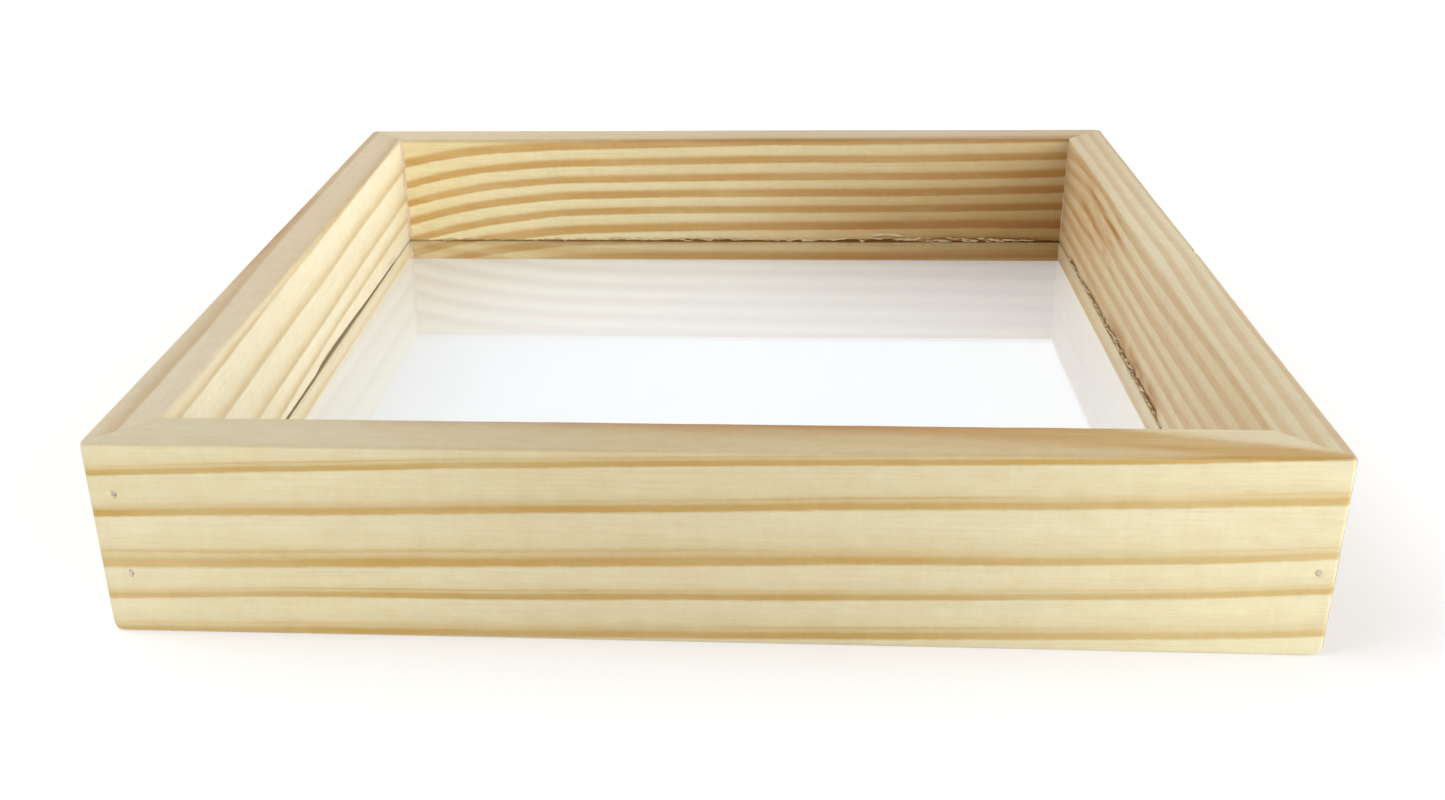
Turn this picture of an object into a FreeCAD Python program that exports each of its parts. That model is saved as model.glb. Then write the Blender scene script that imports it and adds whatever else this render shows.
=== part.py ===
# Square pine frame with mitred corners. A clear sheet stands in a saw kerf that
# runs round the four inner faces. Each corner is glued and holds two brads.
#
# Row frame: millimetres, +X to the right along the front rail, +Y to the back,
# +Z up. The origin is the centre of the underside, on the surface it stands on.

import FreeCAD, Part
import math
import os

import Sketcher
from FreeCAD import Placement, Rotation, Vector

doc = FreeCAD.newDocument("PineFrame")

# ---------------------------------------------------------------- dimensions
dims = doc.addObject("Spreadsheet::Sheet", "Dims")
ROWS = [
    ("frame_wide", 254.0, "outside width of the frame, along X"),
    ("frame_deep", 254.0, "outside depth of the frame, along Y"),
    ("rail_high", 45.0, "height of every rail"),
    ("rail_thick", 12.7, "thickness of every rail"),
    ("corner_round", 1.2, "radius of the four upright outer corners"),
    ("outer_ease", 0.8, "radius of the eased outer long edges"),
    ("inner_ease", 0.35, "radius of the eased inner long edges"),
    ("kerf_base", 6.5, "height of the lower face of the kerf"),
    ("kerf_wide", 2.8, "width of the kerf, one saw blade"),
    ("kerf_deep", 5.0, "depth of the kerf into the inner face"),
    ("sheet_thick", 2.0, "thickness of the clear sheet"),
    ("sheet_gap", 0.5, "gap from the sheet's edge to the kerf's bottom"),
    ("sheet_corner", 0.6, "small corner chamfer of the sheet"),
    ("glue_film", 0.14, "thickness of the glue film in a mitre"),
    ("glue_inset", 1.0, "how far the film stops short of the rail's top and base"),
    ("bead_back_left", 1.1, "leg of the squeeze-out bead, back left corner"),
    ("bead_back_right", 0.6, "leg of the bead, back right corner"),
    ("bead_front_left", 0.6, "leg of the bead, front left corner"),
    ("bead_front_right", 0.6, "leg of the bead, front right corner"),
    ("brad_long", 25.0, "overall length of a brad"),
    ("brad_shank", 1.2, "shank diameter of a brad"),
    ("brad_head", 1.9, "head diameter of a brad"),
    ("head_thick", 0.5, "thickness of a brad's head"),
    ("brad_point", 1.6, "length of a brad's point"),
    ("brad_tip", 0.3, "diameter at the very tip"),
    ("head_sunk", 0.5, "how deep a head is set below the face"),
    ("hole_clear", 0.05, "radial clearance round a shank or a head"),
    ("tip_clear", 0.3, "empty depth beyond a brad's tip"),
    ("front_left_upper_in", 5.2, "brad's distance from the frame's left face"),
    ("front_left_upper_high", 33.2, "brad's height"),
    ("front_left_lower_in", 5.9, "brad's distance from the frame's left face"),
    ("front_left_lower_high", 14.4, "brad's height"),
    ("front_right_upper_in", 4.2, "brad's distance from the frame's right face"),
    ("front_right_upper_high", 35.6, "brad's height"),
    ("front_right_lower_in", 3.6, "brad's distance from the frame's right face"),
    ("front_right_lower_high", 19.4, "brad's height"),
    ("back_left_upper_in", 5.6, "brad's distance from the frame's left face"),
    ("back_left_upper_high", 34.4, "brad's height"),
    ("back_left_lower_in", 4.8, "brad's distance from the frame's left face"),
    ("back_left_lower_high", 15.8, "brad's height"),
    ("back_right_upper_in", 4.9, "brad's distance from the frame's right face"),
    ("back_right_upper_high", 32.6, "brad's height"),
    ("back_right_lower_in", 5.5, "brad's distance from the frame's right face"),
    ("back_right_lower_high", 14.9, "brad's height"),
]
for row, (alias, value, note) in enumerate(ROWS, start=1):
    dims.set("A%d" % row, note)
    dims.set("B%d" % row, str(value))
    dims.setAlias("B%d" % row, alias)
doc.recompute()


def ref(expression):
    """Writes each alias in an expression as a reference to the sheet."""
    out = expression
    for alias in sorted((r[0] for r in ROWS), key=len, reverse=True):
        out = out.replace("<" + alias + ">", "Dims." + alias)
    assert "<" not in out, out
    return out


def value_of(expression):
    """The expression's present value, for a sketch's starting geometry."""
    got = dims.evalExpression(ref(expression))
    return float(getattr(got, "Value", got))


# ------------------------------------------------------------------- helpers
def origin_plane(body, role):
    return [f for f in body.Origin.OriginFeatures if f.Role == role][0]


def new_body(label):
    body = doc.addObject("PartDesign::Body", label)
    body.Label = label
    return body


def new_sketch(body, name, role, offset=None):
    """A sketch on one of the body's own origin planes, moved along its normal by
    the offset expression where there is one."""
    sketch = body.newObject("Sketcher::SketchObject", name)
    sketch.AttachmentSupport = (origin_plane(body, role), [""])
    sketch.MapMode = "FlatFace"
    if offset is not None:
        sketch.setExpression("AttachmentOffset.Base.z", ref(offset))
    return sketch


def bind(sketch, kind, geo, pos, expression, name):
    """Ties one coordinate of a sketch point to an expression of the sheet's cells."""
    if expression == "0":
        axis = -1 if kind == "DistanceY" else -2
        sketch.addConstraint(Sketcher.Constraint("PointOnObject", geo, pos, axis))
        return
    index = sketch.addConstraint(
        Sketcher.Constraint(kind, -1, 1, geo, pos, value_of(expression))
    )
    sketch.renameConstraint(index, name)
    sketch.setExpression("Constraints." + name, ref(expression))


def outline(sketch, points, arcs=()):
    """A closed outline through points given as (x, y) expressions. arcs maps the
    index of a side to (centre x, centre y, radius, start angle, end angle): that
    side is an anticlockwise arc in place of a line."""
    arcs = dict(arcs)
    count = len(points)
    at = [Vector(value_of(x), value_of(y), 0) for x, y in points]
    for side in range(count):
        if side in arcs:
            cx, cy, radius, start, end = arcs[side]
            circle = Part.Circle(
                Vector(value_of(cx), value_of(cy), 0), Vector(0, 0, 1), value_of(radius)
            )
            sketch.addGeometry(
                Part.ArcOfCircle(circle, math.radians(start), math.radians(end))
            )
        else:
            sketch.addGeometry(Part.LineSegment(at[side], at[(side + 1) % count]))
    for side in range(count):
        after = (side + 1) % count
        sketch.addConstraint(Sketcher.Constraint("Coincident", side, 2, after, 1))
    for index, (x, y) in enumerate(points):
        # a point is held on a straight side's end, or on an arc's end between two arcs
        geo, pos = (index, 1) if index not in arcs else ((index - 1) % count, 2)
        bind(sketch, "DistanceX", geo, pos, x, "x%d" % index)
        bind(sketch, "DistanceY", geo, pos, y, "y%d" % index)
    for side, (_, _, radius, _, _) in arcs.items():
        index = sketch.addConstraint(
            Sketcher.Constraint("Radius", side, value_of(radius))
        )
        sketch.renameConstraint(index, "radius%d" % side)
        sketch.setExpression("Constraints.radius%d" % side, ref(radius))


def rounds(sketch, spots, diameter):
    """Equal circles at (x, y) expressions."""
    for index, (x, y) in enumerate(spots):
        sketch.addGeometry(
            Part.Circle(
                Vector(value_of(x), value_of(y), 0),
                Vector(0, 0, 1),
                value_of(diameter) / 2,
            )
        )
        bind(sketch, "DistanceX", index, 3, x, "x%d" % index)
        bind(sketch, "DistanceY", index, 3, y, "y%d" % index)
        size = sketch.addConstraint(
            Sketcher.Constraint("Diameter", index, value_of(diameter))
        )
        sketch.renameConstraint(size, "across%d" % index)
        sketch.setExpression("Constraints.across%d" % index, ref(diameter))


def pocket(body, name, sketch, length=None, reversed_=False, both_ways=False):
    """Cuts a sketch out of the body and makes sure that something was cut."""
    before = body.Shape.Volume
    cut = body.newObject("PartDesign::Pocket", name)
    cut.Profile = sketch
    if length is None:
        cut.Type = "ThroughAll"
    else:
        cut.Type = "Length"
        cut.setExpression("Length", ref(length))
    if both_ways:
        cut.SideType = "Symmetric"
    cut.Reversed = reversed_
    doc.recompute()
    assert body.Shape.Volume < before - 1e-3, "%s cut nothing" % name
    return cut


def ease(body, name, base, edges, radius):
    fillet = body.newObject("PartDesign::Fillet", name)
    fillet.Base = (base, edges)
    fillet.setExpression("Radius", ref(radius))
    doc.recompute()
    return fillet


# --------------------------------------------------------------------- rails
# A rail is drawn with its outer face on local y = 0, its inner face on local
# y = rail_thick, and its length centred on local x = 0. The mitre at the right
# end is the plane x + y = length / 2, less half the glue film.
def make_rail(label, length, base_x, base_y, turn, face_brads, end_brads):
    """face_brads: (side, inset, height) of brads driven through this rail's outer
    face near its end at side * x. end_brads: the same for brads that enter this
    rail along its length, through its mitre."""
    body = new_body(label)
    half = "<%s> / 2" % length
    centre_x = "(%s - <corner_round>)" % half
    along = "sqrt(<corner_round> ^ 2 - <glue_film> ^ 2 / 4) / sqrt(2)"
    back = "<glue_film> / 2 / sqrt(2)"
    tip_x = "%s + %s - %s" % (centre_x, along, back)
    tip_y = "<corner_round> - %s - %s" % (along, back)
    root_x = "%s - <rail_thick> - <glue_film> / sqrt(2)" % half
    plan = new_sketch(body, label + "_plan", "XY_Plane")
    outline(
        plan,
        [
            ("-%s" % centre_x, "0"),
            (centre_x, "0"),
            (tip_x, tip_y),
            (root_x, "<rail_thick>"),
            ("-(%s)" % root_x, "<rail_thick>"),
            ("-(%s)" % tip_x, tip_y),
        ],
        {
            1: (centre_x, "<corner_round>", "<corner_round>", -90, -45),
            5: ("-%s" % centre_x, "<corner_round>", "<corner_round>", 225, 270),
        },
    )
    blank = body.newObject("PartDesign::Pad", label + "_blank")
    blank.Profile = plan
    blank.setExpression("Length", ref("<rail_high>"))
    doc.recompute()

    thick, high = value_of("<rail_thick>"), value_of("<rail_high>")

    def flat_edges(feature, wanted):
        names = []
        for index, edge in enumerate(feature.Shape.Edges, start=1):
            box = edge.BoundBox
            level = box.ZLength < 1e-6 and (
                abs(box.ZMin) < 1e-6 or abs(box.ZMax - high) < 1e-6
            )
            if level and wanted(edge, box):
                names.append("Edge%d" % index)
        return names

    round_ = value_of("<corner_round>")
    outer = flat_edges(
        blank,
        lambda edge, box: box.YMax < round_ and not (
            edge.Curve.TypeId == "Part::GeomLine" and box.YLength > 1e-6
        ),
    )
    assert len(outer) == 6, outer
    eased = ease(body, label + "_outer_ease", blank, outer, "<outer_ease>")
    inner = flat_edges(eased, lambda edge, box: box.YMin > thick - 1e-6)
    assert len(inner) == 2, inner
    ease(body, label + "_inner_ease", eased, inner, "<inner_ease>")

    section = new_sketch(body, label + "_kerf_section", "YZ_Plane")
    outline(
        section,
        [
            ("<rail_thick> - <kerf_deep>", "<kerf_base>"),
            ("<rail_thick> + 1", "<kerf_base>"),
            ("<rail_thick> + 1", "<kerf_base> + <kerf_wide>"),
            ("<rail_thick> - <kerf_deep>", "<kerf_base> + <kerf_wide>"),
        ],
    )
    pocket(body, label + "_kerf", section, both_ways=True)

    if face_brads:
        spots = [
            ("%s(%s - <%s>)" % ("-" if side < 0 else "", half, inset), "<%s>" % high_)
            for side, inset, high_ in face_brads
        ]
        shanks = new_sketch(body, label + "_shanks", "XZ_Plane")
        rounds(shanks, spots, "<brad_shank> + 2 * <hole_clear>")
        pocket(body, label + "_shank_holes", shanks)
        heads = new_sketch(body, label + "_heads", "XZ_Plane")
        rounds(heads, spots, "<brad_head> + 2 * <hole_clear>")
        pocket(body, label + "_head_holes", heads, "<head_sunk> + <head_thick>")
    for side in (-1, 1):
        spots = [
            ("<%s>" % inset, "<%s>" % high_)
            for end, inset, high_ in end_brads
            if end == side
        ]
        if not spots:
            continue
        name = label + ("_near" if side < 0 else "_far")
        offset = "%s%s" % ("-" if side < 0 else "", half)
        bores = new_sketch(body, name + "_brads", "YZ_Plane", offset)
        rounds(bores, spots, "<brad_shank> + 2 * <hole_clear>")
        pocket(
            body,
            name + "_brad_holes",
            bores,
            "<head_sunk> + <brad_long> + <tip_clear>",
            reversed_=side < 0,
        )

    body.Placement = Placement(Vector(0, 0, 0), Rotation(Vector(0, 0, 1), turn))
    if base_x:
        body.setExpression("Placement.Base.x", ref(base_x))
    if base_y:
        body.setExpression("Placement.Base.y", ref(base_y))
    doc.recompute()
    return body


def brad_cells(corner):
    return [
        ("%s_%s_in" % (corner, place), "%s_%s_high" % (corner, place))
        for place in ("upper", "lower")
    ]


rail_front = make_rail(
    "rail_front", "frame_wide", None, "-<frame_deep> / 2", 0,
    [(-1, a, b) for a, b in brad_cells("front_left")]
    + [(1, a, b) for a, b in brad_cells("front_right")],
    [],
)
rail_back = make_rail(
    "rail_back", "frame_wide", None, "<frame_deep> / 2", 180,
    [(1, a, b) for a, b in brad_cells("back_left")]
    + [(-1, a, b) for a, b in brad_cells("back_right")],
    [],
)
rail_left = make_rail(
    "rail_left", "frame_deep", "-<frame_wide> / 2", None, -90,
    [],
    [(1, a, b) for a, b in brad_cells("front_left")]
    + [(-1, a, b) for a, b in brad_cells("back_left")],
)
rail_right = make_rail(
    "rail_right", "frame_deep", "<frame_wide> / 2", None, 90,
    [],
    [(-1, a, b) for a, b in brad_cells("front_right")]
    + [(1, a, b) for a, b in brad_cells("back_right")],
)

# --------------------------------------------------------------- clear sheet
# It rests on the lower face of the kerf, with a gap above it and at its edges.
clear_sheet = new_body("clear_sheet")
reach_x = "(<frame_wide> / 2 - <rail_thick> + <kerf_deep> - <sheet_gap>)"
reach_y = "(<frame_deep> / 2 - <rail_thick> + <kerf_deep> - <sheet_gap>)"
cut = new_sketch(clear_sheet, "clear_sheet_plan", "XY_Plane")
outline(
    cut,
    [
        ("-%s" % reach_x, "-%s" % reach_y),
        (reach_x, "-%s" % reach_y),
        (reach_x, reach_y),
        ("-%s" % reach_x, reach_y),
    ],
)
pane = clear_sheet.newObject("PartDesign::Pad", "clear_sheet_pane")
pane.Profile = cut
pane.setExpression("Length", ref("<sheet_thick>"))
doc.recompute()
uprights = [
    "Edge%d" % i
    for i, edge in enumerate(pane.Shape.Edges, start=1)
    if edge.BoundBox.ZLength > 1
]
assert len(uprights) == 4
corners = clear_sheet.newObject("PartDesign::Chamfer", "clear_sheet_corners")
corners.Base = (pane, uprights)
corners.setExpression("Size", ref("<sheet_corner>"))
clear_sheet.setExpression("Placement.Base.z", ref("<kerf_base>"))
doc.recompute()


# ---------------------------------------------------------------- glue joints
# One solid per corner: the film between the two mitre faces and the bead that
# was squeezed out along the inner corner. Local origin: the foot of the inner
# corner, with the film running towards local -x, -y.
def make_glue(label, corner, leg, sign_x, sign_y, turn, plane):
    """plane is the local origin plane square to the brads of this corner."""
    body = new_body(label)
    film = "<glue_film>"
    run = (
        "(<rail_thick> - <corner_round> * (1 - 1 / sqrt(2)) - 0.15)"
    )
    side = film + " / 2 / sqrt(2)"
    plan = new_sketch(body, label + "_plan", "XY_Plane")
    outline(
        plan,
        [
            ("-%s + %s" % (run, side), "-%s - %s" % (run, side)),
            (film + " / sqrt(2)", "0"),
            ("<%s>" % leg, "0"),
            ("0", "<%s>" % leg),
            ("0", film + " / sqrt(2)"),
            ("-%s - %s" % (run, side), "-%s + %s" % (run, side)),
        ],
    )
    film_pad = body.newObject("PartDesign::Pad", label + "_film")
    film_pad.Profile = plan
    film_pad.setExpression("Length", ref("<rail_high> - 2 * <glue_inset>"))
    plan.setExpression("AttachmentOffset.Base.z", ref("<glue_inset>"))
    doc.recompute()

    # nothing squeezes into the kerf, where the sheet's corner stands
    level = new_sketch(body, label + "_kerf_level", "XY_Plane", "<kerf_base> - 0.2")
    back, ahead = "-(<kerf_deep> + 0.2)", "<%s> + 1" % leg
    outline(level, [(back, back), (ahead, back), (ahead, ahead), (back, ahead)])
    pocket(body, label + "_kerf", level, "<kerf_wide> + 0.2", reversed_=True)

    # the brads pass through the film
    spots = []
    for inset, high_ in brad_cells(corner):
        spots.append(("<%s> - <rail_thick>" % inset, "<%s>" % high_))
    shanks = new_sketch(body, label + "_brads", plane)
    rounds(shanks, spots, "<brad_shank> + 2 * <hole_clear>")
    pocket(body, label + "_brad_holes", shanks, both_ways=True)

    body.Placement = Placement(Vector(0, 0, 0), Rotation(Vector(0, 0, 1), turn))
    body.setExpression(
        "Placement.Base.x", ref("%s(<frame_wide> / 2 - <rail_thick>)" % sign_x)
    )
    body.setExpression(
        "Placement.Base.y", ref("%s(<frame_deep> / 2 - <rail_thick>)" % sign_y)
    )
    doc.recompute()
    return body


glue = [
    make_glue("glue_front_left", "front_left", "bead_front_left", "-", "-", 0, "XZ_Plane"),
    make_glue("glue_front_right", "front_right", "bead_front_right", "", "-", 90, "YZ_Plane"),
    make_glue("glue_back_right", "back_right", "bead_back_right", "", "", 180, "XZ_Plane"),
    make_glue("glue_back_left", "back_left", "bead_back_left", "-", "", -90, "YZ_Plane"),
]


# --------------------------------------------------------------------- brads
# A brad is drawn along local +z from its head, then laid along Y.
def make_brad(name, corner, place, sign_x, sign_y):
    head = doc.addObject("Part::Cylinder", name + "_head")
    head.setExpression("Radius", ref("<brad_head> / 2"))
    head.setExpression("Height", ref("<head_thick>"))
    shank = doc.addObject("Part::Cylinder", name + "_shank")
    shank.setExpression("Radius", ref("<brad_shank> / 2"))
    shank.setExpression("Height", ref("<brad_long> - <brad_point>"))
    point = doc.addObject("Part::Cone", name + "_point")
    point.setExpression("Radius1", ref("<brad_shank> / 2"))
    point.setExpression("Radius2", ref("<brad_tip> / 2"))
    point.setExpression("Height", ref("<brad_point>"))
    point.setExpression("Placement.Base.z", ref("<brad_long> - <brad_point>"))
    brad = doc.addObject("Part::MultiFuse", name)
    brad.Shapes = [head, shank, point]
    turn = -90 if sign_y == "-" else 90
    brad.Placement = Placement(Vector(0, 0, 0), Rotation(Vector(1, 0, 0), turn))
    inset, high_ = "%s_%s_in" % (corner, place), "%s_%s_high" % (corner, place)
    brad.setExpression(
        "Placement.Base.x", ref("%s(<frame_wide> / 2 - <%s>)" % (sign_x, inset))
    )
    brad.setExpression(
        "Placement.Base.y", ref("%s(<frame_deep> / 2 - <head_sunk>)" % sign_y)
    )
    brad.setExpression("Placement.Base.z", ref("<%s>" % high_))
    return brad


brads = []
for corner, sign_x, sign_y in (
    ("front_left", "-", "-"),
    ("front_right", "", "-"),
    ("back_left", "-", ""),
    ("back_right", "", ""),
):
    pair = doc.addObject("Part::Compound", "brads_" + corner)
    pair.Label = "brads_" + corner
    pair.Links = [
        make_brad("brad_%s_%s" % (corner, place), corner, place, sign_x, sign_y)
        for place in ("upper", "lower")
    ]
    brads.append(pair)
doc.recompute()

# -------------------------------------------------------------------- output
NODES = [rail_front, rail_back, rail_left, rail_right, clear_sheet] + glue + brads
for obj in doc.Objects:
    bad = [state for state in obj.State if state in ("Invalid", "Error")]
    if bad:
        raise RuntimeError("%s is %s" % (obj.Label, bad))
for node in NODES:
    shape = node.Shape
    if shape.isNull() or not shape.isValid():
        raise RuntimeError("%s has no valid shape" % node.Label)
    solids = 2 if node in brads else 1
    if len(shape.Solids) != solids:
        raise RuntimeError("%s has %d solids" % (node.Label, len(shape.Solids)))

os.makedirs("parts", exist_ok=True)
for node in NODES:
    node.Shape.exportStep("parts/%s.step" % node.Label)
    box = node.Shape.BoundBox
    print(
        "%-18s solids %d volume %10.2f mm3  x %.2f..%.2f y %.2f..%.2f z %.2f..%.2f"
        % (
            node.Label, len(node.Shape.Solids), node.Shape.Volume,
            box.XMin, box.XMax, box.YMin, box.YMax, box.ZMin, box.ZMax,
        )
    )
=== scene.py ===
import math

import bmesh
import bpy
import numpy as np
from mathutils import Matrix, Vector


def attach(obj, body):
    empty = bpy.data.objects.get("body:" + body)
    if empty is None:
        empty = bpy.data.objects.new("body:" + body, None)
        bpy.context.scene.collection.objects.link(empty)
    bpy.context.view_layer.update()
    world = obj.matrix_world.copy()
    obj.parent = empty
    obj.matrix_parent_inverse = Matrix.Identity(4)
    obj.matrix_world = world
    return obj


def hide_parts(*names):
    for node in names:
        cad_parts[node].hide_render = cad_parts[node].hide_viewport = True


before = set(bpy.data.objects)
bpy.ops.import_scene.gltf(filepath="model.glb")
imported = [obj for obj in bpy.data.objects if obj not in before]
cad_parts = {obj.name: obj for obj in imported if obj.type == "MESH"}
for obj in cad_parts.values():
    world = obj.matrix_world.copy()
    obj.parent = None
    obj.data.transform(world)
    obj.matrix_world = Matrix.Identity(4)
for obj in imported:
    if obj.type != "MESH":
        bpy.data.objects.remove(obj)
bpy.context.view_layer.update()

# Lengths below are in millimetres until a mesh is made.
MM = 0.001
HALF = 127.0          # half of the frame's side
HIGH = 45.0           # rail height
THICK = 12.7          # rail thickness
INNER = HALF - THICK  # inner wall's distance from the centre
KERF_LOW, KERF_HIGH, KERF_DEEP = 6.5, 9.3, 5.0
SHEET_TOP = 8.5
CORNER = 1.2          # outer upright corner radius
SETBACK = 0.03        # half of the glue line, along the rail


# ------------------------------------------------------------------ small maths
def wave(seed, step, x):
    """Smooth seeded noise in one dimension, from -1 to 1."""
    k = np.random.default_rng(seed).uniform(-1, 1, 1024)
    t = np.asarray(x, float) / step + 300.0
    i = np.floor(t).astype(int)
    f = t - i
    f = f * f * f * (f * (6 * f - 15) + 10)
    return k[i % 1024] * (1 - f) + k[(i + 1) % 1024] * f


def wave2(seed, step_x, step_y, x, y):
    """Smooth seeded noise in two dimensions, from -1 to 1."""
    k = np.random.default_rng(seed).uniform(-1, 1, (256, 256))
    tx = np.asarray(x, float) / step_x + 100.0
    ty = np.asarray(y, float) / step_y + 100.0
    ix, iy = np.floor(tx).astype(int), np.floor(ty).astype(int)
    fx, fy = tx - ix, ty - iy
    fx, fy = fx * fx * (3 - 2 * fx), fy * fy * (3 - 2 * fy)
    a, b = k[ix % 256, iy % 256], k[(ix + 1) % 256, iy % 256]
    c, d = k[ix % 256, (iy + 1) % 256], k[(ix + 1) % 256, (iy + 1) % 256]
    return (a * (1 - fx) + b * fx) * (1 - fy) + (c * (1 - fx) + d * fx) * fy


def step(a, b, x):
    t = np.clip((np.asarray(x, float) - a) / (b - a), 0, 1)
    return t * t * (3 - 2 * t)


def track(cols, vals, at, blur=9.0):
    """A smooth line through a few points, carried on straight past its ends."""
    g = np.arange(-60.0, 315.0, 1.0)
    y = np.interp(g, cols, vals)
    first = (vals[1] - vals[0]) / (cols[1] - cols[0])
    last = (vals[-1] - vals[-2]) / (cols[-1] - cols[-2])
    y = np.where(g < cols[0], vals[0] + first * (g - cols[0]), y)
    y = np.where(g > cols[-1], vals[-1] + last * (g - cols[-1]), y)
    kernel = np.exp(-0.5 * (np.arange(-40, 41) / blur) ** 2)
    kernel /= kernel.sum()
    padded = np.concatenate(
        [y[0] - first * np.arange(40, 0, -1), y, y[-1] + last * np.arange(1, 41)]
    )
    return np.interp(at, g, np.convolve(padded, kernel, "valid"))


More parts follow.
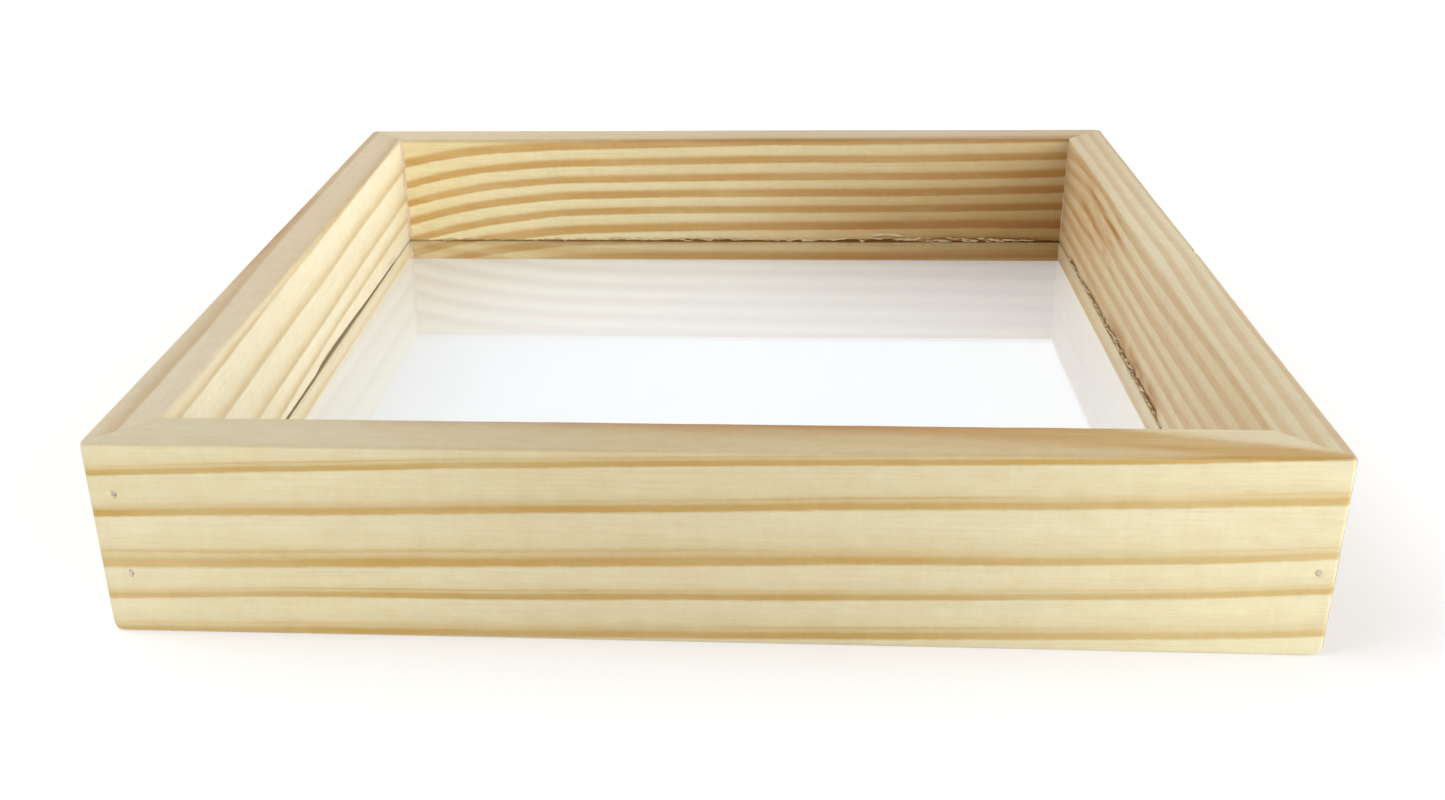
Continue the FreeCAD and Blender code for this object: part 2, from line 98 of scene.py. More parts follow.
# ---------------------------------------------------------------- growth rings
# A rail's rings are level sets of one smooth field. Each line is a growth ring's
# dark edge: how far it lies below the rail's top, at columns along the rail, with the
# ring's slope across the rail. thick is how thick its dark band is. shade, warmth:
# the board's tone along its length, partly its own and partly painted light and shade;
# crown, crown_warmth: the same for its top; gloom: columns over which the
# wall gets painted shade, darker and redder towards its foot (a negative amount paints
# light there instead).
RINGS = {
    "rail_front": dict(
        cols=(5, 20, 40, 80, 120, 160, 200, 212, 227, 237, 254),
        lines=(
            (-11, -11.5, -12, -13, -13.5, -14, -15, -15.3, -15.7, -16, -16.3),
            (-2, -2.5, -3.1, -4.1, -4.9, -5.8, -6.5, -6.9, -7.5, -7.9, -8.4),
            (7.3, 6.7, 6.1, 4.7, 3.6, 2.8, 2.1, 1.85, 1.35, 0.95, 0.3),
            (16.9, 16.5, 16.1, 15.1, 13.95, 12.8, 12.0, 11.7, 11.2, 10.8, 10.0),
            (29.1, 28.9, 28.5, 27.7, 26.7, 25.4, 24.7, 24.4, 23.9, 23.4, 22.4),
            (36.7, 36.3, 35.6, 35.4, 34.7, 33.8, 32.9, 32.5, 31.9, 31.3, 30.2),
            (45.2, 45.1, 44.9, 44.5, 44.0, 43.3, 42.5, 42.2, 41.7, 41.3, 40.3),
            (54.5, 54.2, 53.6, 53, 52.4, 51.6, 50.8, 50.4, 49.9, 49.5, 48.6),
        ),
        thick=(2.2, 2.2, 2.3, 3.0, 3.6, 2.6, 2.8, 2.4),
        tilt=0.15,
        slim=(4, (0, 110, 200, 254), (1.03, 1.0, 0.82, 0.74)),
        shade=((0, 50, 100, 150, 200, 235, 254), (1.15, 1.11, 1.0, 1.01, 1.14, 1.31, 1.31)),
        warmth=((0, 60, 120, 200, 254), (-0.08, -0.06, 0.0, -0.06, -0.1)),
        crown=((0, 60, 127, 172, 254), (0.9, 0.91, 0.98, 1.0, 0.88)),
        crown_warmth=((0, 60, 107, 172, 254), (-0.05, 0.0, 0.07, 0.03, 0.02)),
        base=0.0,
        blur=7.0,
    ),
    "rail_back": dict(
        cols=(17, 27, 42, 67, 102, 142, 182, 207, 235),
        lines=(
            (-20.5, -20.5, -20.5, -20.5, -20.5, -20.5, -20.5, -20.5, -20.5),
            (-9.5, -9.5, -10, -10.5, -11, -11, -11, -11, -11),
            (9.3, 7.1, 5.3, 3.9, 3.1, 2.3, 2.1, 1.9, 1.3),
            (16.7, 14.1, 11.7, 9.7, 9.1, 8.3, 8.3, 7.9, 7.3),
            (23.5, 20.9, 18.1, 15.7, 15.1, 14.5, 14.5, 14.3, 13.5),
            (30.1, 27.3, 24.3, 21.5, 20.7, 20.5, 20.3, 19.9, 19.1),
            (37, 34.1, 30.9, 27.5, 26.5, 26.3, 25.9, 25.7, 25.1),
            (43.5, 40.6, 37.2, 34.3, 33.1, 32.5, 32.1, 31.7, 31.7),
            (49.5, 46.7, 43.2, 40.2, 38.9, 38.5, 38.4, 38.1, 37.9),
            (56, 53, 49.4, 46.3, 45, 44.6, 44.4, 44.1, 43.9),
            (62, 59, 55.5, 52.3, 51, 50.6, 50.4, 50.1, 50),
        ),
        thick=(2.6, 2.6, 3.0, 3.1, 2.9, 3.1, 2.9, 3.3, 3.1, 3.1, 3.0),
        tilt=0.5,
        shade=((0, 30, 60, 107, 160, 207, 235, 254), (1.28, 1.26, 1.17, 1.08, 1.04, 1.02, 0.97, 0.96)),
        warmth=((0, 50, 107, 160, 207, 235, 254), (-0.08, -0.05, 0.0, 0.0, 0.04, 0.1, 0.12)),
        gloom=(105, 205, 0.31, 0.5),
        crown=((0, 60, 107, 254), (0.92, 0.97, 0.98, 0.98)),
        crown_warmth=((0, 107, 235, 254), (0.0, 0.0, -0.06, -0.08)),
        base=THICK,
        blur=4.0,
    ),
    "rail_left": dict(
        cols=(27, 61, 101, 141, 181, 221, 233),
        lines=(
            (-23, -23.5, -24.5, -25, -25.4, -25.8, -26),
            (-14, -14.4, -15.6, -16.3, -16.6, -16.8, -16.8),
            (-5.0, -5.2, -6.2, -7.2, -7.3, -7.5, -7.5),
            (4.9, 4.1, 2.9, 2.3, 1.3, 0.2, -0.2),
            (17, 15.9, 14.7, 14.3, 12.5, 11.9, 11.8),
            (28.5, 27.4, 26.1, 25.1, 23.5, 22.7, 22.5),
            (37, 35.4, 33, 31.2, 30.3, 29.6, 29.5),
            (44.6, 44.4, 44.2, 44.0, 43.9, 43.7, 43.6),
            (57, 56.8, 56.5, 56.2, 56, 55.7, 55.6),
        ),
        thick=(3.4, 3.2, 3.0, 2.5, 3.5, 3.0, 3.0, 2.4, 3.0),
        tilt=0.75,
        shade=((0, 12, 60, 107, 160, 220, 254), (0.93, 0.93, 0.96, 1.03, 1.05, 1.07, 1.07)),
        warmth=((0, 254), (0.0, 0.0)),
        gloom=(-2, -1, -0.1, 0.0),
        crown=((0, 40, 127, 254), (1.04, 1.02, 0.93, 0.91)),
        crown_warmth=((0, 40, 127, 254), (0.02, 0.02, 0.13, 0.13)),
        base=THICK,
        blur=9.0,
    ),
    "rail_right": dict(
        cols=(18, 38, 58, 78, 98, 133, 173, 202, 250),
        lines=(
            (-25.6, -25.6, -25.6, -25.6, -25.7, -26.6, -25.1, -24.8, -24.6),
            (-19.9, -19.9, -19.9, -19.8, -19.9, -20.6, -19.2, -19, -18.9),
            (-14.2, -14.2, -14.1, -14.1, -14.1, -14.8, -13.5, -13.4, -13.3),
            (-9, -9, -8.9, -8.9, -9.1, -10, -8.2, -7.7, -7.6),
            (-3.1, -3.6, -3.6, -3.4, -3.2, -3.9, -2.4, -2.2, -1.5),
            (5.5, 3.5, 2.3, 2.6, 3.9, 4.3, 3.5, 2.7, 2.4),
            (10.3, 8.3, 7.9, 8.4, 9.4, 10.1, 9.5, 8.9, 8.7),
            (15.9, 15.2, 14.6, 14.8, 15.8, 16.6, 16.3, 15.6, 15.4),
            (20.9, 21.0, 20.5, 20.3, 21.1, 21.3, 21.2, 21, 20.9),
            (25.9, 26.3, 26.5, 27, 27, 27.5, 27.3, 27, 27),
            (31.7, 31.9, 32.3, 32.6, 33, 33, 33, 33, 33),
            (38, 38, 38.2, 38.5, 38.8, 39, 39, 39, 39),
            (44.2, 44.2, 44.4, 44.6, 45, 45, 45, 45, 45),
            (50.4, 50.4, 50.6, 50.8, 51, 51, 51, 51, 51),
        ),
        thick=(3.0,) * 4 + (3.0, 2.8, 3.1, 3.3, 2.4, 3.2, 3.0, 3.0, 3.0, 3.0),
        tilt=1.26,
        shade=((0, 12, 50, 120, 254), (0.9, 0.9, 0.96, 1.0, 0.96)),
        warmth=((0, 40, 70, 105, 254), (0.24, 0.24, 0.13, 0.03, 0.06)),
        crown=((0, 254), (1.02, 1.02)),
        crown_warmth=((0, 40, 70, 105, 254), (-0.1, -0.1, -0.05, 0.0, 0.0)),
        base=THICK,
        blur=5.0,
    ),
}


# Resin-dark streaks, torn wood and bruises. On a wall: column and depth below the top at
# one end and at the other, half width, strength. On the top: the same, with how far in
# from the outer face instead of depth.
STREAKS = {
    "rail_right": (
        ("wall", 30, 4.4, 74, 1.6, 0.9, 0.6),
        ("wall", 72, 1.6, 108, 3.2, 0.9, 0.4),
        ("wall", 44, 4.8, 88, 7.6, 1.0, 1.0),
        ("wall", 74, 6.8, 106, 8.0, 0.75, 1.5),
        ("wall", 40, 12.3, 90, 16.6, 1.2, 1.05),
        ("wall", 30, 20.0, 66, 22.0, 1.4, 0.4),
        ("wall", 50, 7.9, 94, 11.2, 0.45, 0.8),
        ("wall", 60, 9.6, 102, 12.6, 0.4, 0.7),
        ("wall", 54, 14.6, 98, 19.4, 0.5, 0.65),
        ("wall", 38, 16.6, 76, 20.8, 0.6, 0.5),
        ("wall", 24, 9.0, 60, 10.6, 0.5, 0.45),
        ("top", 127.8, 0.0, 132.8, 0.3, 0.6, 1.7),
    ),
    "rail_left": (
        ("top", 94, 0.2, 176, 0.8, 1.5, 0.85),
        ("wall", 206, 34.6, 219, 34.9, 0.5, 0.8),
    ),
    "rail_back": (("wall", 238, 24, 242, 34, 2.0, 0.35),),
    "rail_front": (("top", 40, 13.4, 215, 12.6, 3.6, 0.8), ("top", 60, 3.0, 96, 5.0, 0.8, 0.12)),
}
# torn wood's darker tone over the kerf lip, together with painted shade in the torn hollow
TORN_TONE_AND_SHADE = {  # column from and to, how high over the lip the torn wood reaches, strength
    "rail_right": ((30, 52, 2.0, 0.9), (58, 100, 3.8, 1.0), (92, 162, 4.6, 1.7)),
    "rail_back": ((84, 94, 1.0, 0.5), (108, 132, 1.0, 0.5), (170, 194, 1.3, 0.6), (192, 241, 1.9, 0.9)),
    "rail_front": ((70, 96, 1.0, 0.5), (150, 171, 1.2, 0.5)),
    "rail_left": ((60, 76, 0.7, 0.3),),
}


def stains(name, col, v, z):
    """How far the wood is stained towards its darkest tone, and darkened by painted shade in the torn hollows over the
    kerf.
    """
    out = np.zeros_like(z)
    inner = (v > THICK - 1.9) & (z > SHEET_TOP)
    for kind, c0, d0, c1, d1, half, much in STREAKS[name]:
        t = (col - c0) / (c1 - c0)
        ends = np.sin(np.pi * np.clip(t, 0, 1)) ** 0.6
        middle = d0 + (d1 - d0) * t + 0.25 * wave(77, 9.0, col)
        across = (HIGH - z if kind == "wall" else v) - middle
        where = inner if kind == "wall" else z > HIGH - 1.3
        much = much * (1 + 0.3 * wave2(81, 5.0, 0.4, col, across))
        out = np.maximum(out, np.where(where, much * ends * np.exp(-((across / half) ** 2)), 0))
    for c0, c1, high, much in TORN_TONE_AND_SHADE[name]:
        ends = step(c0 - 2, c0 + 8, col) * (1 - step(c1 - 8, c1 + 2, col))
        high = high * (0.8 + 0.3 * wave(78, 6.0, col))
        fade = np.exp(-((np.maximum(z - SHEET_TOP - 0.6, 0) / high) ** 1.6))
        out = np.maximum(out, np.where(inner, much * ends * fade * (0.85 + 0.25 * wave2(79, 7, 0.5, col, z)), 0))
    return out


# painted shade in the kerf: how dark its inside is made. The wall's strip under the sheet: brightness and warmth beside
# the wall above, painted light and shade
KERF_SHADE = {"rail_front": 0.55, "rail_back": 0.82, "rail_left": 0.5, "rail_right": 0.5}
UNDER_SHEET_LIGHT_AND_SHADE = {"rail_front": (1, 0), "rail_back": (0.82, 0.23), "rail_left": (1.1, 0.06), "rail_right": (1.14, -0.2)}


def ring_field(name, along, v, z):
    """At stations x rows: ring number, its dark band's share of the ring, and tones."""
    spec = RINGS[name]
    # a station runs into the mitre, so each point has a column of its own
    col = HALF + (along[:, None] - HALF) * (HALF - v) / HALF
    deep = HIGH - z + spec["tilt"] * (v - spec["base"])
    thick = np.array(spec["thick"])
    knots = np.stack([track(spec["cols"], line, col, spec["blur"]) for line in spec["lines"]], 2)
    gap = np.diff(knots, axis=2)
    slope = np.empty_like(knots)
    slope[..., 1:-1] = 2.0 / (gap[..., 1:] + gap[..., :-1])
    slope[..., 0], slope[..., -1] = 1.0 / gap[..., 0], 1.0 / gap[..., -1]
    share = thick * slope
    if "slim" in spec:  # one band grows thinner along the rail
        share[..., spec["slim"][0]] *= track(*spec["slim"][1:], col, 9.0)
    share = np.clip(share, 0.02, 0.9)
    n = knots.shape[2]

    def pick(values, at):
        return np.take_along_axis(values, at[..., None], 2)[..., 0]

    i = np.clip((deep[..., None] >= knots).sum(2) - 1, 0, n - 2)
    h, low, high = pick(gap, i), pick(slope, i), pick(slope, i + 1)
    t = (deep - pick(knots, i)) / h
    inside = np.clip(t, 0, 1)
    t2, t3 = inside**2, inside**3
    w = (
        i * (2 * t3 - 3 * t2 + 1)
        + (t3 - 2 * t2 + inside) * h * low
        + (i + 1) * (3 * t2 - 2 * t3)
        + (t3 - t2) * h * high
    )
    w += np.where(t < 0, t * h * low, 0) + np.where(t > 1, (t - 1) * h * high, 0)
    # a band's share belongs to the ring that ends at its line
    near = np.clip(np.floor(w).astype(int), 0, n - 1)
    f = np.clip((w - np.floor(w)) / 0.4, 0, 1)
    s = pick(share, near) * (1 - f) + pick(share, np.clip(near + 1, 0, n - 1)) * f
    # the board's tone drifts along its length, and its top has a tone of its own; both are partly the wood's own and
    # partly painted light and shade
    shade = track(*spec["shade"], along, 14.0)[:, None] + 0 * z
    warmth = track(*spec["warmth"], along, 14.0)[:, None] + 0 * z
    upper = step(HIGH - 0.9, HIGH - 0.3, z)
    shade *= 1 + upper * (track(*spec["crown"], along, 14.0)[:, None] - 1)
    warmth += upper * track(*spec["crown_warmth"], along, 14.0)[:, None]
    # painted shade: over the given columns the wall is darkened and reddened towards its foot, where the side rail's
    # shadow lies; a negative amount paints light there instead
    if "gloom" in spec:
        start, end, darker, redder = spec["gloom"]
        foot = step(start, end, col) * np.clip((HIGH - z) / 36, 0, 1) * (v > THICK - 2)
        foot *= np.where(z < KERF_HIGH, 0.22, 1.0)
        shade *= 1 - darker * foot
        warmth += redder * foot
    # painted shade darkens and reddens the kerf's inside, and painted light and shade make the strip under the sheet
    # lighter on the side rails and darker on the back one
    away = THICK - v
    sawn = (z > KERF_LOW - 0.1) & (z < KERF_HIGH + 0.1) & (away > 0.1) & (away < KERF_DEEP + 0.3)
    strip = (z < KERF_LOW) & (away < 1.0)
    inside_shade = np.where(z > KERF_LOW + 0.3, KERF_SHADE[name], np.interp(away, (0.15, 1.2), (1.0, KERF_SHADE[name])))
    shade *= np.where(sawn, inside_shade, np.where(strip, UNDER_SHEET_LIGHT_AND_SHADE[name][0], 1.0))
    warmth += np.where(strip, UNDER_SHEET_LIGHT_AND_SHADE[name][1], 0.0) + np.where(sawn, 0.36, 0.0)
    # painted shade: the right rail's outer side, which faces the strongest light, is darkened a little
    if name == "rail_right":  # its outer side has darkened a little
        painted_outer_shade = 1 - step(0.2, 1.2, v)
        shade *= 1 - 0.14 * painted_outer_shade * (1 - upper)
        warmth -= 0.05 * painted_outer_shade * (1 - upper)
    return w, s, upper, shade, warmth, stains(name, col, v, z)


# --------------------------------------------------------------- kerf's ragged lip
# How high the upper lip stands over the sheet, and how ragged it is, along each wall
# in the rail's own columns. torn: (from, to, height over the kerf, depth) of wood that
# the saw pulled out of the wall above the kerf.
LIPS = {
    "rail_front": dict(
        cols=(0, 60, 120, 180, 254),
        gap=(0.4, 0.5, 0.45, 0.5, 0.4),
        rough=(0.12, 0.15, 0.12, 0.15, 0.12),
        torn=((70, 96, 0.9, 0.3), (150, 171, 1.1, 0.35)),
    ),
    "rail_back": dict(
        cols=(12, 24, 30, 52, 66, 78, 98, 112, 128, 146, 160, 168, 186, 190, 205, 228, 232, 242),
        gap=(0.06, 0.16, 0.26, 0.3, 0.34, 0.24, 0.26, 0.5, 0.45, 0.28, 0.32, 0.75, 0.8, 0.3, 0.25, 0.22, 0.55, 0.6),
        rough=(0.08, 0.2, 0.2, 0.2, 0.24, 0.3, 0.3, 0.28, 0.3, 0.2, 0.2, 0.12, 0.12, 0.34, 0.34, 0.34, 0.26, 0.26),
        torn=((84, 92, 0.9, 0.25), (108, 132, 0.8, 0.3), (176, 193, 1.6, 0.45), (194, 234, 1.5, 0.5)),
    ),
    "rail_left": dict(
        cols=(12, 30, 60, 90, 118, 124, 140, 160, 180, 200, 215, 218, 221, 242),
        gap=(0.3, 0.38, 0.46, 0.52, 0.6, 1.3, 1.5, 1.2, 0.7, 0.46, 0.36, 0.3, 0.0, 0.0),
        rough=(0.04, 0.05, 0.05, 0.05, 0.04, 0.05, 0.05, 0.04, 0.04, 0.03, 0.03, 0.03, 0.01, 0.01),
        torn=((60, 76, 0.6, 0.2),),
    ),
    "rail_right": dict(
        cols=(12, 24, 36, 42, 50, 58, 80, 100, 120, 138, 144, 165, 190, 242),
        gap=(0.08, 0.1, 0.3, 0.75, 0.45, 0.08, 0.06, 0.06, 0.05, 0.1, 0.34, 0.3, 0.16, 0.12),
        rough=(0.08, 0.1, 0.2, 0.2, 0.2, 0.2, 0.24, 0.24, 0.24, 0.2, 0.12, 0.1, 0.1, 0.08),
        torn=((33, 46, 1.6, 0.6), (54, 100, 4.6, 0.75), (90, 158, 5.4, 0.95)),
    ),
}


def lip_shape(name, along):
    """The lip's height and, for a height z over it, the depth torn out of the wall."""
    spec = LIPS[name]
    along = HALF + (along - HALF) * INNER / HALF
    seed = 40 + sorted(LIPS).index(name) * 7
    gap = np.interp(along, spec["cols"], spec["gap"])
    rough = np.interp(along, spec["cols"], spec["rough"])
    jag = (
        0.55 * wave(seed, 2.3, along)
        + 0.35 * wave(seed + 1, 1.1, along)
        + 0.35 * np.maximum(wave(seed + 2, 3.7, along) - 0.25, 0) * 2
    )
    lip = SHEET_TOP + np.clip(gap + rough * jag, 0.0, 1.6)

    def torn(z):
        out = np.zeros(np.broadcast(along[:, None], z).shape)
        for n, (a, b, up, deep) in enumerate(spec["torn"]):
            ends = step(a - 1.5, a + 3, along) * (1 - step(b - 5, b + 1.5, along))
            top = KERF_HIGH + up * (0.72 + 0.28 * wave(seed + 11 + n, 5.5, along))
            top = top + 0.25 * wave(seed + 21 + n, 1.3, along)
            high = 1 - step(top[:, None] - max(0.8, 0.75 * up), top[:, None] + 0.15, z)
            grain = 0.8 + 0.2 * wave2(seed + 31 + n, 6.0, 0.45, along[:, None] + 0 * z, z)
            out = np.maximum(out, deep * ends[:, None] * high * grain)
        return out

    return lip, torn


# ------------------------------------------------------------------ brads' places
BRADS = {  # rail: (x in the rail's own frame, height)
    "rail_front": {
        "front_left": ((-HALF + 5.2, 33.2), (-HALF + 5.9, 14.4)),
        "front_right": ((HALF - 4.2, 35.6), (HALF - 3.6, 19.4)),
    },
    "rail_back": {
        "back_left": ((HALF - 5.6, 34.4), (HALF - 4.8, 15.8)),
        "back_right": ((-HALF + 4.9, 32.6), (-HALF + 5.5, 14.9)),
    },
}
FILLED = {(HALF - 4.2, 35.6)}  # a brad whose recess was filled flush: no mark shows
HEAD_SUNK, HEAD_RADIUS, BRAD_LONG = 0.5, 0.95, 25.0

# small knocks on the top's outer edge: rail, column, length, depth
KNOCKS = (
    ("rail_right", 130.2, 2.6, 0.55),
    ("rail_back", 61.0, 1.6, 0.3),
    ("rail_left", 203.0, 1.8, 0.3),
)
# the frame's rails don't finish quite level at the mitres
LEVEL = {"rail_front": 0.0, "rail_back": -0.05, "rail_left": -0.07, "rail_right": -0.03}


# ------------------------------------------------------------------- rail's mesh
def rail_rows(name, x0):
    """The rail's section at each station, as rows of (v, z): v is how far in from the
    outer face, z the height. x0 is the station's place along the rail."""
    n = len(x0)
    along = HALF + x0 if name == "rail_front" else HALF - x0
    seed = 400 + 13 * sorted(RINGS).index(name)
    one = np.ones(n)
    top = HIGH + LEVEL[name] + 0.03 * wave(seed, 45, along)
    ease = 0.8 * (1 + 0.16 * wave(seed + 1, 28, along) + 0.06 * wave(seed + 2, 5, along))
    for rail_, col, long_, deep in KNOCKS:
        if rail_ == name:
            ease = ease + 2.2 * deep * np.exp(-(((along - col) / (0.5 * long_)) ** 2))
    base = 0.6 * (1 + 0.2 * wave(seed + 3, 22, along))
    inner = 0.36 * (1 + 0.25 * wave(seed + 4, 12, along) + 0.1 * wave(seed + 5, 3, along))
    under = 0.35 * (1 + 0.2 * wave(seed + 6, 18, along))
    v, z, nv, nz = [], [], [], []

    def add(v_, z_, nv_, nz_):
        v.append(v_ * one), z.append(z_ * one), nv.append(nv_), nz.append(nz_)

    def arc(cv, cz, r, start, end, count):
        for t in np.linspace(math.radians(start), math.radians(end), count):
            add(cv + r * math.cos(t), cz + r * math.sin(t), math.cos(t), math.sin(t))

    # base, from the inner side out
    for t in np.linspace(0, 1, 8):
        add((THICK - under - 0.12) * (1 - t) + (base + 0.12) * t, 0.0, 0, -1)
    arc(base, base, base, 270, 180, 6)
    # outer face, with close rows at the brads
    rows = list(np.arange(1.9, 43.6, 1.45))
    for group in BRADS.get(name, {}).values():
        for _, high in group:
            rows = [r for r in rows if abs(r - high) > 1.45]
            rows += list(high + np.arange(-1.4, 1.41, 0.2))
    rows = np.array(sorted(rows))
    add(0, base + 0.12, -1, 0)
    for r in rows:
        add(0, r, -1, 0)
    add(0, top - ease - 0.12, -1, 0)
    arc(ease, top - ease, ease, 180, 90, 7)
    # top
    for t in np.linspace(0, 1, 10):
        add((ease + 0.12) * (1 - t) + (THICK - inner - 0.12) * t, top, 0, 1)
    arc(THICK - inner, top - inner, inner, 90, 0, 5)
    # inner wall down to the ragged lip
    add(THICK, top - inner - 0.12, 1, 0)
    for r in np.arange(43.4, 14.6, -1.45):
        add(THICK, r, 1, 0)
    lip, torn = lip_shape(name, along)
    close = (14.2, 13.4, 12.8, 12.3, 11.85, 11.45, 11.1, 10.8, 10.5, 10.25, 10.0, 9.8, 9.62, 9.48, 9.38, 9.3)
    for r in close:
        zz = lip + (r - 9.3) * (15.0 - lip) / (15.0 - 9.3)
        add(THICK - torn(zz[:, None])[:, 0], zz, 1, 0)
    mouth = v[-1]
    # kerf's roof, back and floor
    for away in (0.12, 0.35, 0.7, 1.2, 2.0, 3.2):
        t = step(0.0, 1.4, away)
        add(mouth - away, lip * (1 - t) + KERF_HIGH * t, 0, -1)
    add(THICK - KERF_DEEP, KERF_HIGH, 0.7, -0.7)
    add(THICK - KERF_DEEP, 7.9, 1, 0)
    add(THICK - KERF_DEEP, KERF_LOW, 0.7, 0.7)
    for away in (3.0, 1.6, 0.7, 0.2):
        add(THICK - away, KERF_LOW, 0, 1)
    low = 0.12 * np.abs(wave(seed + 8, 2.1, along)) + 0.06
    add(THICK - 0.5 * low, KERF_LOW, 0.7, 0.7)
    add(THICK, KERF_LOW - low, 1, 0)
    for r in (5.9, 5.0, 4.0, 3.0, 2.0, 1.0):
        add(THICK, r, 1, 0)
    add(THICK, under + 0.12, 1, 0)
    arc(THICK - under, under, under, 0, -90, 5)

    v, z = np.stack(v, 1), np.stack(z, 1)
    nv, nz = np.array(nv)[None, :], np.array(nz)[None, :]

    # planed and sanded faces are never quite flat
    flat = (np.abs(nv) > 0.99) | (np.abs(nz) > 0.99)
    lie = wave2(seed + 9, 38, 21, along[:, None] + 0 * z, z + 2 * v)
    lie = lie + 0.4 * wave2(seed + 10, 9, 6, along[:, None] + 0 * z, z + 2 * v)
    keep = np.where((nz < -0.5) & (z < 1), 0.0, 1.0) * np.where(
        (v > THICK - KERF_DEEP - 0.1) & (z > 5.9) & (z < 15) & flat, 0.25, 1.0
    )
    v = v - 0.028 * np.where(nv < -0.5, -1, np.where(nv > 0.5, 1, 0)) * np.abs(lie) * keep
    z = z - 0.028 * np.where(nz > 0.5, 1, 0) * np.abs(lie) * keep * (z > 40)

    # the recesses over the brads' heads, each with a slightly bruised rim
    for group in BRADS.get(name, {}).values():
        for place, high in group:
            if (place, high) in FILLED:
                continue
            far = np.hypot(x0[:, None] - place, z - high)
            turn = np.arctan2(z - high, x0[:, None] - place)
            rim = 0.86 + 0.09 * np.sin(2 * turn + place) + 0.06 * np.sin(5 * turn + high)
            hole = 0.56 * (1 - step(rim - 0.34, rim + 0.12, far))
            bruise = 0.05 * np.exp(-(((far - rim - 0.3) / 0.3) ** 2))
            outer = nv < -0.99
            v = v + np.where(outer, hole + bruise, 0)
    return v, z, along


def rail_mesh(name, turn):
    fine = set(np.round(np.arange(-INNER - 10.4, INNER + 10.4, 0.62), 3))
    ends = list(np.arange(HALF - 2.2, HALF - 0.05, 0.2)) + [HALF]
    places = sorted(fine | {-e for e in ends} | set(ends))
    for group in BRADS.get(name, {}).values():
        for place, _ in group:
            places = [p for p in places if abs(p - place) > 1.5 or abs(p) == HALF]
            places += list(place + np.arange(-1.5, 1.51, 0.2))
    places = np.array(sorted(places))
    keep = np.concatenate([[True], np.diff(places) > 0.09])
    keep[-1] = True
    places = places[keep]
    share = places / HALF
    v, z, along = rail_rows(name, places)
    # dimples were placed by x at the outer face, where v is 0, so share is exact there
    x = share[:, None] * (HALF - v - SETBACK)
    # round the outer upright corner, which is worn rounder at its ends
    worn = CORNER + 1.7 * np.clip((2.0 - z) / 2.0, 0, 1) ** 2 + np.clip((z - HIGH + 1.5) / 1.5, 0, 1) ** 2
    qx, qv = np.abs(x) - (HALF - worn), worn - v
    both = (qx > 0) & (qv > 0)
    size = np.hypot(qx, qv)
    k = np.where(both, np.maximum(qx, qv) / np.where(size > 0, size, 1), 1)
    x = np.where(both, np.sign(x) * (HALF - worn + qx * k), x)
    v = np.where(both, worn - qv * k, v)
    fields = ring_field(name, along, v, z)

    n, m = v.shape
    y = -HALF + v
    c, s = math.cos(turn), math.sin(turn)
    co = np.stack([c * x - s * y, s * x + c * y, z], 2).reshape(-1, 3) * MM
    j, i = np.meshgrid(np.arange(n - 1), np.arange(m), indexing="ij")
    a, b = j * m + i, j * m + (i + 1) % m
    d, e = (j + 1) * m + i, (j + 1) * m + (i + 1) % m
    quads = np.stack([a, d, e, b], 2).reshape(-1, 4)
    faces = quads.tolist()
    faces.append(list(range(m)))
    faces.append(list(range((n - 1) * m, n * m))[::-1])
    mesh = bpy.data.meshes.new(name + "_pine")
    mesh.from_pydata(co.tolist(), [], faces)
    return mesh, [field.reshape(-1) for field in fields]


# --------------------------------------------------- splinters along a torn kerf lip
# rail, column, height, length, width, lift off the wall, tilt, how far it hangs over
SPLINTERS = [
    ("rail_back", 182.0, 10.35, 11.0, 0.85, 0.55, 0.02, 0.9),
    ("rail_back", 178.0, 9.75, 6.0, 0.4, 0.35, 0.06, -0.2),
    ("rail_back", 187.0, 9.7, 5.0, 0.5, 0.45, -0.08, -0.3),
    ("rail_back", 27.0, 9.0, 5.5, 0.45, 0.3, 0.03, -0.2),
    ("rail_back", 34.0, 9.15, 4.0, 0.3, 0.2, -0.03, 0.1),
    ("rail_back", 86.0, 9.3, 4.5, 0.5, 0.3, 0.05, -0.2),
    ("rail_back", 90.0, 9.1, 3.0, 0.4, 0.35, -0.08, 0.2),
    ("rail_back", 96.5, 9.2, 3.5, 0.35, 0.3, 0.1, 0.1),
    ("rail_back", 110.0, 9.35, 3.2, 0.5, 0.4, 0.12, -0.2),
    ("rail_back", 113.6, 9.4, 2.6, 0.45, 0.35, -0.1, 0.2),
    ("rail_back", 118.5, 9.2, 3.0, 0.35, 0.3, 0.05, -0.2),
    ("rail_back", 127.0, 9.5, 3.4, 0.4, 0.3, 0.0, 0.1),
    ("rail_back", 133.5, 9.3, 3.8, 0.4, 0.35, -0.06, -0.2),
    ("rail_left", 133.0, 10.3, 26.0, 0.22, 0.12, -0.012, 0.05),
    ("rail_left", 217.5, 8.75, 3.0, 0.5, 0.4, 0.0, 0.0),
]


def scatter(rail_, a, b, count, low, high, seed):
    """Seeded splinters between two columns of a rail."""
    rng = np.random.default_rng(seed)
    out = []
    for k in range(count):
        col = a + (b - a) * (k + rng.uniform(0.15, 0.85)) / count
        out.append((
            rail_, col, rng.uniform(low, high), rng.uniform(1.6, 4.6), rng.uniform(0.25, 0.7),
            rng.uniform(0.15, 0.6), rng.uniform(-0.16, 0.16), rng.uniform(-0.45, 0.3),
        ))
    return out


